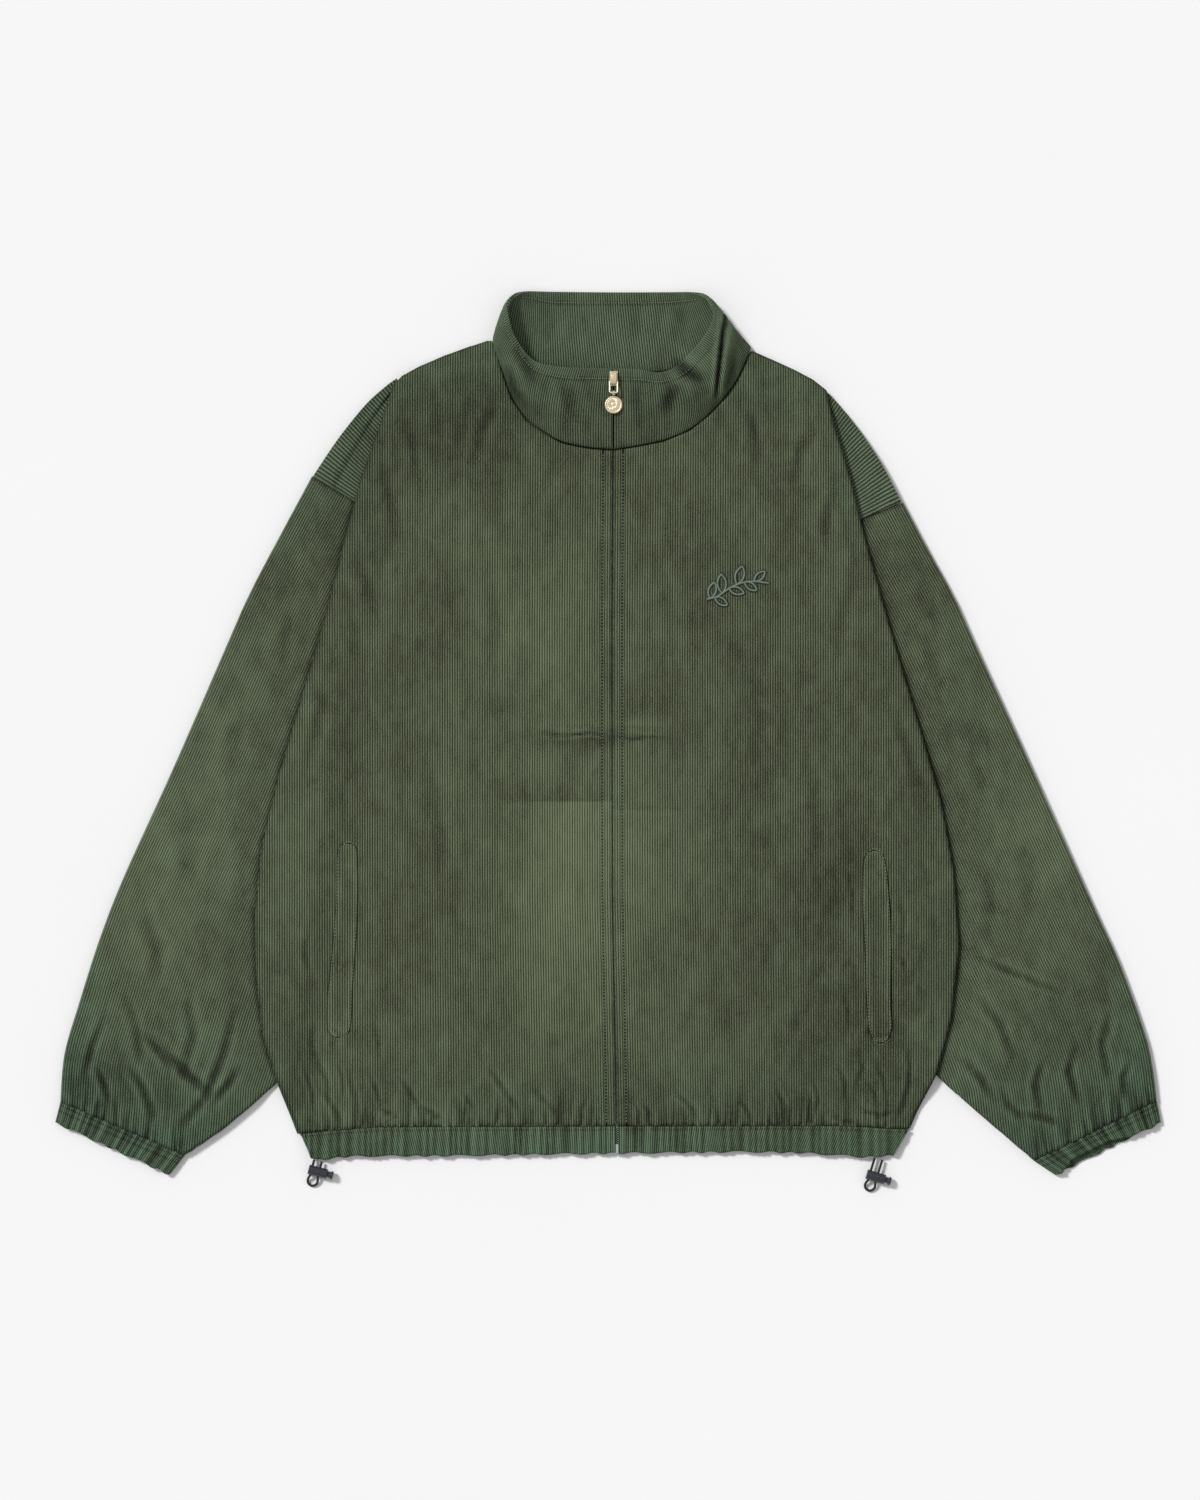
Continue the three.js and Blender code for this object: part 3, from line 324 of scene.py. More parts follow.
@dataclass(frozen=True)
class Crease:
    """A soft trough pressed into the cloth along a line, with a ridge on either side of it.

    Attributes:
        line: corners of the trough in plan.
        depth: depth of the trough. A negative depth makes a ridge.
        width: half-width of the trough.
        shoulder: height of the ridges beside it, as a part of the depth.
    """

    line: tuple[Point, ...]
    depth: float
    width: float
    shoulder: float = 0.45

    def height(self, x: Array, y: Array) -> Array:
        """Height it adds: depth * (shoulder * exp(-(q - 1.7)^2) - exp(-q^2)), q = distance / width, faded at its ends."""
        distance, along = nearest_on_line(np.array(self.line), x, y)
        q = distance / self.width
        fade = np.sin(np.pi * np.clip(along, 0.0, 1.0)) ** 0.7
        return fade * self.depth * (self.shoulder * np.exp(-((q - 1.7) ** 2)) - np.exp(-q * q))


@dataclass(frozen=True)
class Gathers:
    """Uneven folds that run away from a gathered seam.

    Attributes:
        low: start of the gathered stretch across the folds.
        high: end of it.
        spacing: mean distance between two folds.
        reach: mean length of a fold.
        depth: mean height of a fold.
        width: half-width of a fold.
        seed: start of the random draws.
    """

    low: float
    high: float
    spacing: float
    reach: float
    depth: float
    width: float
    seed: int

    def height(self, across: Array, away: Array) -> Array:
        """Sum over the folds of h * exp(-((across - c - slant * away) / w)^2) * (1 - smooth(away)), ridges and troughs mixed."""
        draw = np.random.default_rng(self.seed)
        count = max(2, int((self.high - self.low) / self.spacing))
        places = np.linspace(self.low, self.high, count + 2)[1:-1]
        places = places + draw.uniform(-0.35, 0.35, count) * self.spacing
        slants = draw.uniform(-0.16, 0.16, count)
        reaches = self.reach * draw.uniform(0.45, 1.6, count)
        heights = self.depth * draw.uniform(0.5, 1.3, count) * np.where(draw.random(count) < 0.55, -1.0, 0.8)
        widths = self.width * draw.uniform(0.7, 1.4, count)
        total = np.zeros(np.shape(across))
        for place, slant, reach, height, width in zip(places, slants, reaches, heights, widths):
            q = (across - place - slant * away) / (width * (1.0 + 0.5 * away / self.reach))
            total += height * np.exp(-q * q) * (1.0 - smooth(0.0, reach, away))
        return total


@dataclass(frozen=True)
class Patch:
    """A broad soft zone of lighter or darker nap: amount * exp(-(dx/rx)^2 - (dy/ry)^2)."""

    x: float
    y: float
    reach_x: float
    reach_y: float
    amount: float

    def tone(self, x: Array, y: Array) -> Array:
        """The tone it adds at places in plan."""
        return self.amount * np.exp(-(((x - self.x) / self.reach_x) ** 2) - ((y - self.y) / self.reach_y) ** 2)


# Folds in the fronts
FRONT_CREASES = (
    Crease(((267.3, -282.4), (271.8, -295), (270, -318.4), (264.6, -339.1), (252.9, -352.6)), 1.0, 2.6),
    Crease(((-64, 0), (-40, -3.2), (-18, -1.2)), 0.7, 1.6, 0.7),
    Crease(((-34, -2.5), (-16, -0.5), (-2, -3.2)), 0.9, 1.4, 0.7),
    Crease(((-26, -8.5), (-13, -6.5), (2, -10.2)), 0.6, 1.5, 0.6),
    Crease(((-52, 6.5), (-30, 5), (-10, 7.5)), 0.4, 2.2),
    Crease(((7, -3), (20, -6.5), (36, -4.2), (54, -5.5)), 0.8, 1.5, 0.7),
    Crease(((8, 3), (22, 4.5), (40, 2)), 0.5, 2.0),
    Crease(((9, -11), (20, -13.5), (38, -12)), 0.6, 1.9),
    Crease(((-40, -15), (-24, -17.5), (-6, -16)), 0.4, 2.4),
    Crease(((-66, -7), (-50, -10.5), (-34, -7.5)), 0.5, 1.8),
    Crease(((-31, 2.5), (-19, 5), (-6, 2.5)), 0.45, 1.5),
    Crease(((15, -17), (29, -20.5), (46, -17.5)), 0.4, 2.0),
    Crease(((-22, -24), (-14, -30), (-10, -42)), 0.35, 2.2),
    Crease(((-115, -63.5), (-60, -62.5), (3, -61.5)), 0.3, 1.5),
    Crease(((5, -69), (45, -70), (83, -69)), 0.3, 1.5),
    Crease(((-207.9, -337.3), (-196, -343), (-183.6, -349)), 1.1, 2.2),
    Crease(((-170.1, -335.5), (-157, -343.5), (-143.1, -350.8)), 1.1, 2.2),
    Crease(((-107.1, -301.3), (-91, -325), (-75.6, -346.3)), 0.9, 2.6),
    Crease(((-70, -318), (-52, -336), (-40, -350)), 0.7, 2.4),
    Crease(((60, -322), (75, -338), (84, -351)), 0.8, 2.3),
    Crease(((118, -330), (126, -342), (131, -352)), 0.9, 2.2),
    Crease(((-258, -320), (-247, -337), (-240, -353)), 0.9, 2.6),
    Crease(((-262, -296), (-252, -314), (-251, -336)), 0.9, 2.4),
    Crease(((-274, -300), (-266, -322), (-264, -344)), 0.9, 2.0),
    Crease(((-243, -296), (-238, -312), (-237, -330)), 0.7, 2.0),
    Crease(((-216, -306), (-208, -322), (-203, -340)), 0.8, 2.2),
    Crease(((-186, -312), (-174, -330), (-166, -346)), 0.8, 2.4),
    Crease(((-132, -322), (-122, -336), (-118, -350)), 0.7, 2.2),
    Crease(((-18, -326), (-24, -340), (-22, -352)), 0.6, 2.2),
    Crease(((30, -330), (36, -342), (35, -353)), 0.7, 2.2),
    Crease(((150, -318), (158, -334), (160, -350)), 0.8, 2.2),
    Crease(((184, -312), (189, -330), (186, -346)), 0.8, 2.2),
    Crease(((206, -300), (214, -318), (212, -334)), 0.8, 2.2),
    Crease(((238, -296), (248, -312), (250, -330)), 0.8, 2.0),
    Crease(((230, -314), (240, -324), (242, -336)), 0.7, 1.8),
    Crease(((-234, -306), (-227, -328), (-224, -350)), 0.8, 2.4),
    Crease(((-252, -264), (-238, -274), (-222, -268)), 0.9, 2.0),
    Crease(((-256, -274), (-242, -283), (-226, -280)), 0.7, 1.8),
    Crease(((-250, -204), (-238, -209), (-226, -203)), 0.5, 1.8),
    Crease(((224, -338), (244, -345), (261, -340)), 1.1, 2.2),
    Crease(((196, -341), (214, -350), (232, -354)), 1.0, 2.2),
    Crease(((224, -264), (240, -273), (262, -270)), 0.8, 2.0),
    Crease(((188, -206), (204, -213), (222, -208)), 0.6, 2.0),
    Crease(((196, -189), (212, -195), (230, -191)), 0.5, 2.0),
    Crease(((262, -206), (276, -222), (283, -240)), 0.6, 2.4),
    Crease(((214, -128), (220, -146), (219, -166)), 0.8, 2.2),
    Crease(((259, -150), (266, -166), (263, -184)), 0.9, 2.4),
    Crease(((262, -202), (269, -214), (264, -231)), 0.8, 2.2),
    Crease(((210, -236), (217, -252), (214, -268)), 0.7, 2.2),
    Crease(((224, -286), (229, -302), (222, -320)), 0.8, 2.6),
    Crease(((-268, -170), (-272, -200), (-266, -232)), 0.7, 3.0),
    Crease(((-262, -258), (-267, -284), (-258, -306)), 0.8, 3.0),
    Crease(((-212, -262), (-205, -284), (-208, -306)), 0.6, 2.6),
    Crease(((-190, 286), (-176, 262), (-171, 232)), 0.8, 5.0),
    Crease(((-206, 236), (-193, 206), (-190, 172)), 0.7, 5.0),
    Crease(((186, 280), (172, 252), (169, 224)), 0.8, 5.0),
    Crease(((206, 226), (196, 192), (195, 160)), 0.7, 5.0),
    Crease(((-232, 158), (-214, 128), (-208, 92)), 0.6, 6.0),
    Crease(((228, 150), (212, 118), (208, 84)), 0.6, 6.0),
    Crease(((-96, 300), (-112, 278), (-120, 250)), 0.9, 5.0),
    Crease(((118, 300), (130, 276), (134, 246)), 0.9, 5.0),
    Crease(((-168, -40), (-150, -90), (-156, -140)), 0.5, 7.0),
    Crease(((122, 60), (136, 10), (128, -40)), 0.5, 7.0),
    Crease(((-110, 150), (-98, 100), (-106, 50)), 0.5, 8.0),
    Crease(((180, -30), (190, -80), (182, -120)), 0.5, 7.0),
    Crease(((-254, 40), (-262, 0), (-276, -40)), 0.6, 5.0),
    Crease(((258, 20), (270, -20), (284, -62)), 0.6, 5.0),
)
# Folds in the sleeves' upper sides
SLEEVE_CREASES: dict[Side, tuple[Crease, ...]] = {
    LEFT: (
        Crease(((-450.9, -254.5), (-463, -282), (-471.6, -313)), 1.3, 3.2),
        Crease(((-416.7, -271.6), (-402, -290), (-390.6, -307.6)), 1.4, 3.4),
        Crease(((-333.9, -247.3), (-345, -290), (-361.8, -330.1), (-390.6, -360.7)), 1.5, 4.0),
        Crease(((-412, -272), (-380, -306), (-352, -330)), 1.6, 4.5),
        Crease(((-436, -236), (-424, -262), (-418, -300)), 1.1, 4.0),
        Crease(((-378, -238), (-372, -272), (-382, -312)), 1.2, 4.5),
        Crease(((-430, -300), (-416, -322), (-408, -350)), 1.5, 3.6),
        Crease(((-460, -300), (-452, -318), (-448, -334)), 1.3, 3.0),
        Crease(((-330, -300), (-342, -318), (-360, -340)), 1.3, 3.6),
        Crease(((-350, 50), (-334, 8), (-338, -40)), 0.8, 7.0),
        Crease(((-392, -60), (-376, -104), (-384, -150)), 0.9, 8.0),
        Crease(((-300, 130), (-288, 96), (-294, 56)), 0.8, 6.0),
        Crease(((-330, -80), (-322, -130), (-334, -180)), 0.8, 7.0),
        Crease(((-420, -160), (-404, -196), (-408, -226)), 0.9, 6.0),
    ),
    RIGHT: (
        Crease(((329.4, -201.4), (362, -216), (411.3, -235.6)), 1.2, 3.0),
        Crease(((367.2, -341.8), (388, -346), (408.6, -352.6)), 1.2, 3.0),
        Crease(((330, -236), (352, -262), (366, -296)), 1.1, 4.2),
        Crease(((452, -250), (444, -280), (450, -312)), 1.3, 3.6),
        Crease(((420, -280), (414, -306), (424, -336)), 1.4, 3.6),
        Crease(((392, -292), (384, -318), (390, -346)), 1.3, 3.6),
        Crease(((470, -296), (462, -312), (464, -330)), 1.2, 3.0),
        Crease(((318, -292), (334, -310), (350, -334)), 1.3, 3.8),
        Crease(((352, -318), (360, -336), (376, -352)), 1.2, 3.4),
        Crease(((346, 30), (330, -14), (334, -60)), 0.8, 7.0),
        Crease(((392, -80), (376, -122), (382, -166)), 0.9, 8.0),
        Crease(((296, 116), (286, 80), (292, 40)), 0.8, 6.0),
        Crease(((336, -120), (344, -156), (338, -190)), 0.8, 6.0),
    ),
}
# Pressed-in folds of the underside, where the cloth stands off the surface
BACK_CREASES = (
    Crease(((-230, -300), (-150, -240), (-60, -215)), -0.9, 4.0, 0.0),
    Crease(((250, -290), (160, -236), (90, -222)), -0.9, 4.0, 0.0),
    Crease(((-30, 300), (-22, 180), (-34, 60)), -0.7, 5.0, 0.0),
    Crease(((-180, 250), (-120, 150), (-110, 40)), -0.8, 5.0, 0.0),
    Crease(((176, 240), (124, 140), (118, 30)), -0.8, 5.0, 0.0),
    Crease(((-250, -60), (-130, -40), (-20, -52)), -0.7, 4.0, 0.0),
    Crease(((30, -110), (140, -96), (260, -120)), -0.7, 4.0, 0.0),
)
# Zones of lighter and darker nap, and a few narrow ones of painted light and shade beside creases
NAP_PATCHES = (
    Patch(-52, 100, 60, 80, 0.15),
    Patch(29, -115, 34, 70, 0.12),
    # The zones at y 9 and 8 paint light on crease ridges, those at y -5 and -9 paint shade in the crease troughs
    Patch(-26, 9, 44, 7, 0.16),
    Patch(28, 8, 30, 6, 0.12),
    Patch(-10, -5, 46, 5, -0.12),
    Patch(-44, -34, 60, 20, 0.18),
    Patch(30, -9, 30, 6, -0.1),
    Patch(205, -190, 80, 170, -0.15),
    Patch(120, -335, 180, 22, -0.06),
    Patch(-140, 262, 80, 42, -0.2),
    Patch(120, 150, 90, 60, -0.04),
    Patch(-230, 20, 50, 120, -0.03),
    Patch(110, -10, 60, 60, -0.06),
    Patch(-345, -10, 45, 130, 0.16),
    Patch(-410, -130, 60, 110, 0.2),
    Patch(-300, -130, 26, 150, 0.04),
    Patch(-450, -325, 50, 36, -0.12),
    Patch(-372, -320, 34, 60, 0.02),
    Patch(385, -85, 46, 110, 0.2),
    Patch(345, -280, 36, 40, 0.12),
    Patch(430, -270, 40, 60, -0.08),
    Patch(462, -330, 40, 30, -0.08),
    Patch(10, 345, 90, 34, 0.12),
    Patch(60, 300, 60, 30, -0.16),
    Patch(-60, 300, 60, 30, -0.14),
    Patch(0, -372, 300, 14, 0.1),
)
# Pale zones beside the zip that start sharply below a line: middle, reach to either side, the line's Y, amount
NAP_STEPS = ((-34.0, 54.0, 60.0, -62.0, 0.38), (14.0, 30.0, 44.0, -69.0, 0.12))


def nap_tone(x: Array, y: Array) -> Array:
    """Broad lightness of the nap: the patches, and two zones below the zip's middle with a sharp upper edge."""
    total = sum(patch.tone(x, y) for patch in NAP_PATCHES)
    for middle, reach_left, reach_right, top, amount in NAP_STEPS:
        reach = np.where(x < middle, reach_left, reach_right)
        own_side = smooth(-1.0, 1.0, (x - ZIP_MIDDLE) * (1.0 if middle > ZIP_MIDDLE else -1.0))
        sides = np.exp(-(((x - middle) / reach) ** 2)) * own_side
        total = total + amount * sides * smooth(0.0, 1.6, top - y) * (1.0 - smooth(90.0, 300.0, top - y))
    return total


def cool_tone(x: Array, y: Array) -> Array:
    """How much the green turns cool: towards the sleeves' ends, the shoulders and the hem."""
    sleeves = 0.22 * smooth(235.0, 330.0, np.abs(x))
    ends = 0.4 * smooth(430.0, 485.0, np.abs(x)) + 0.25 * smooth(250.0, 400.0, np.abs(x)) * smooth(-200.0, -360.0, y)
    shoulders = 0.4 * smooth(255.0, 330.0, y) + 0.35 * smooth(190.0, 215.0, np.abs(x)) * smooth(120.0, 230.0, y)
    hem = 0.7 * smooth(-345.0, -372.0, y) + 0.25 * smooth(-250.0, -340.0, y)
    return np.clip(sleeves + ends + shoulders + hem, 0.0, 1.0)


def swell(x: Array, y: Array) -> Array:
    """Slow uneven rise and fall of laid cloth: a sum of four crossed sine waves, about 1 high at most."""
    return 0.25 * (
        np.sin(x / 31 + 1.3 * np.sin(y / 57 + 0.4))
        + np.sin(y / 43 + 1.1 * np.sin(x / 66 + 2.1))
        + np.sin((x + y) / 58 + 0.7)
        + np.sin((x - 1.4 * y) / 85 + 1.9)
    )


@dataclass
class Weave:
    """What each point of a cloth grid carries besides its place.

    Attributes:
        across: distance across the wales.
        along: distance along the wales.
        x: place in plan, which sets the nap's tone.
        y: place in plan.
        tone: lightness added to the nap's: ridges lighter, partly as wear and partly as painted light, and painted
            shade in troughs, along seams and at edges.
    """

    across: Array
    along: Array
    x: Array
    y: Array
    tone: Array | float = 0.0

    def coarse(self, row_step: int, column_step: int) -> "Weave":
        """The same for every so many rows and columns."""
        pick = (slice(None, None, row_step), slice(None, None, column_step))
        tone = np.broadcast_to(self.tone, self.x.shape)[pick]
        return Weave(self.across[pick], self.along[pick], self.x[pick], self.y[pick], tone)


@dataclass
class ClothMesh:
    """The points and faces of one piece of cloth, gathered grid by grid and welded where edges meet."""

    name: str
    points: list[Array] = field(default_factory=list)
    weaves: list[Array] = field(default_factory=list)
    faces: list[Array] = field(default_factory=list)
    count: int = 0

    def add_points(self, grid: Array, weave: Weave) -> Array:
        """Adds a grid of points.

        Args:
            grid: rows by columns by three.
            weave: what the points carry, rows by columns.

        Returns:
            The points' numbers, rows by columns.
        """
        numbers = np.arange(grid.shape[0] * grid.shape[1]).reshape(grid.shape[:2]) + self.count
        # The nap's tone plus the weave's painted light and shade: lighter ridges, and shade in troughs, along seams and
        # at edges
        nap_and_painted_light = nap_tone(weave.x, weave.y) + weave.tone
        carried = np.stack([weave.across, weave.along, nap_and_painted_light, cool_tone(weave.x, weave.y)], -1)
        self.points.append(grid.reshape(-1, 3))
        self.weaves.append(carried.reshape(-1, 4))
        self.count += numbers.size
        return numbers

    def add_surface(self, numbers: Array, up: bool) -> None:
        """Adds the quads of a grid, facing up where rows run along +Y and columns along +X."""
        a, b = numbers[:-1, :-1], numbers[:-1, 1:]
        c, d = numbers[1:, 1:], numbers[1:, :-1]
        corners = (a, b, c, d) if up else (a, d, c, b)
        self.faces.append(np.stack([corner.ravel() for corner in corners], -1))

    def add_rim(self, fine: Array, coarse: Array, forward: bool, keep: Array | None = None) -> None:
        """Closes the rim between a fine edge and a coarse one.

        Args:
            fine: numbers along the fine edge.
            coarse: numbers along the coarse edge, a divisor of the fine ones.
            forward: whether the faces run along the fine edge in its own order.
            keep: which coarse intervals get a face, all of them if None.
        """
        step = (len(fine) - 1) // (len(coarse) - 1)
        starts = np.arange(len(coarse) - 1)
        if keep is not None:
            starts = starts[keep]
        if not len(starts):
            return
        chunk = fine[starts[:, None] * step + np.arange(step + 1)[None, :]]
        near, far = coarse[starts][:, None], coarse[starts + 1][:, None]
        parts = (chunk, far, near) if forward else (chunk[:, ::-1], near, far)
        self.faces.append(np.concatenate(parts, 1))

    def add_wall(self, fine: Array, coarse: Array, weave: Weave, row_step: int, up: bool = True,
                 open_edges: "OpenEdges | None" = None) -> None:
        """Adds a wall of cloth with a fine outer side, a coarse inner side and rims between them.

        Args:
            fine: the outer side, rows by columns by three.
            coarse: the inner side at every row_step-th row and LINING_STEP-th column.
            weave: what the outer side's points carry.
            row_step: rows of the fine side to one row of the coarse side.
            up: whether the fine side faces up.
            open_edges: which rims are made. None makes all four.
        """
        outer = self.add_points(fine, weave)
        inner = self.add_points(coarse, weave.coarse(row_step, LINING_STEP))
        self.add_surface(outer, up)
        self.add_surface(inner, not up)
        edges = open_edges or OpenEdges()
        self.add_rim(outer[0], inner[0], not up, edges.first_row)
        self.add_rim(outer[-1], inner[-1], up, edges.last_row)
        if edges.first_column:
            self.add_rim(outer[:, 0], inner[:, 0], up)
        if edges.last_column:
            self.add_rim(outer[:, -1], inner[:, -1], not up)

    def build(self, body: str, material: bpy.types.Material, slot: str = "corduroy") -> bpy.types.Object:
        """Welds the points, makes the mesh with its UV map and tones, and lets it ride on a body."""
        points = np.concatenate(self.points)
        carried = np.concatenate(self.weaves)
        _, first, back = np.unique(np.round(points * 2e3), axis=0, return_index=True, return_inverse=True)
        back = back.ravel()
        points, carried = points[first], carried[first]
        faces = [back[face] for face in self.faces]
        mesh = bpy.data.meshes.new(self.name)
        loops = np.concatenate([face.ravel() for face in faces])
        sizes = np.concatenate([np.full(len(face), face.shape[1]) for face in faces])
        starts = np.concatenate([[0], np.cumsum(sizes)[:-1]])
        mesh.vertices.add(len(points))
        mesh.vertices.foreach_set("co", (points * METRE).ravel())
        mesh.loops.add(len(loops))
        mesh.loops.foreach_set("vertex_index", loops)
        mesh.polygons.add(len(sizes))
        mesh.polygons.foreach_set("loop_start", starts)
        mesh.update(calc_edges=True)
        uv = mesh.uv_layers.new(name="weave")
        uv.data.foreach_set("uv", (carried[loops, :2] * METRE).ravel())
        for place, tone in enumerate(("nap_and_painted_light", "cool"), start=2):
            layer = mesh.attributes.new(name=tone, type="FLOAT", domain="POINT")
            layer.data.foreach_set("value", carried[:, place].copy())
        mesh.polygons.foreach_set("use_smooth", np.ones(len(sizes), bool))
        mesh.set_sharp_from_angle(angle=math.radians(76))
        mesh.materials.append(material)
        if mesh.validate(verbose=False):
            log.warning("%s: the mesh had faces to mend", self.name)
        return placed(self.name, mesh, body)


@dataclass
class OpenEdges:
    """Which rims of a wall are closed: masks over the coarse intervals of the rows, and flags for the columns."""

    first_row: Array | None = None
    last_row: Array | None = None
    first_column: bool = True
    last_column: bool = True


def placed(name: str, mesh: bpy.types.Mesh, body: str) -> bpy.types.Object:
    """Links a mesh as an object at the origin that rides on a body."""
    piece = bpy.data.objects.new(name, mesh)
    bpy.context.scene.collection.objects.link(piece)
    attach(piece, body)
    log.info("%s: %d faces", name, len(mesh.polygons))
    return piece


def wale_columns(low: float, high: float, pitch: float = WALE) -> Array:
    """Places across the cloth: four to a wale, with both ends, in a number that LINING_STEP divides.

    Args:
        low: first place.
        high: last place.
        pitch: distance between two wales.

    Returns:
        The places in increasing order.
    """
    wales = np.arange(math.floor(low / pitch), math.ceil(high / pitch) + 1)
    places = (wales[:, None] + np.array(WALE_PHASES)).ravel() * pitch
    inside = places[(places > low + 0.12) & (places < high - 0.12)]
    columns = np.concatenate([[low], inside, [high]])
    spare = -(len(columns) - 1) % LINING_STEP
    extra = np.linspace(columns[-2], columns[-1], spare + 2)[1:-1]
    return np.concatenate([columns[:-1], extra, columns[-1:]])


def rows_between(stops: list[Array | float], counts: list[int]) -> Array:
    """Rows that run from the first stop to the last, evenly between two stops.

    Args:
        stops: a height or one height for each column. Where a column is short, the inner stops are
            pushed inside its ends and kept in order.
        counts: number of rows from each stop to the next.

    Returns:
        Heights, rows by columns.
    """
    low, high = np.asarray(stops[0], float), np.asarray(stops[-1], float)
    last = len(stops) - 1
    span = high - low
    held = [
        np.clip(stop, low + span * 0.02 * i, high - span * 0.02 * (last - i))
        for i, stop in enumerate(stops)
    ]
    for before, after in zip(held[:-1], held[1:]):
        np.maximum(after, before + span * 0.004, out=after)
    rows = [
        held[i] + (held[i + 1] - held[i]) * (k / count) for i, count in enumerate(counts) for k in range(count)
    ]
    return np.stack([*rows, held[-1]])


def on_plan(x: Array, y: Array, z: Array) -> Array:
    """Three arrays of coordinates as one grid of points."""
    return np.stack(np.broadcast_arrays(x, y, z), -1).astype(float)


@dataclass
class Heights:
    """How high each layer of the laid jacket lies, from the sleeves up to the fronts."""

    def hidden_edge(self, side: Side) -> list[Point]:
        """The sleeve's edge under the body as (y, x), from the shoulder's tip down to the notch."""
        return [*flipped(HIDDEN_SHOULDER[side]), *flipped(SLEEVE_INNER[side][: NOTCH + 1])]

    def body_lift(self, x: Array, y: Array) -> Array:
        """Height of the back panel: lifted where the sleeve lies beneath it, and soft down to the surface."""
        total = np.zeros(np.broadcast(x, y).shape)
        for side in Side:
            rows = self.hidden_edge(side)
            nearest = np.clip(y, rows[-1][0], rows[0][0])
            inside = np.maximum(0.0, side.sign * (look_up(rows, nearest) - x))
            lifted = BODY_LIFT * (1.0 - smooth(3.0, 36.0, np.hypot(inside, y - nearest)))
            total = np.where(side.sign * x > 0, lifted, total)
        return total

    def front_underside(self, side: Side, x: Array, y: Array) -> Array:
        """Underside of the fronts: the back's top, and the air between the two."""
        inside = -past_edge(side, x, y)
        air = BODY_AIR * smooth(0.0, 60.0, inside) * (1.0 - 0.35 * smooth(-290.0, -354.0, y))
        return self.body_lift(x, y) + CLOTH + LAYER_GAP + air + 0.9 * smooth(228.0, 262.0, y)

    def sleeve_top(self, side: Side, x: Array, y: Array) -> Array:
        """Top of the sleeve: low under the body, and a soft rise beside it."""
        return SLEEVE_LOW + SLEEVE_RISE * smooth(OUT_MARGIN, 34.0, past_edge(side, x, y))


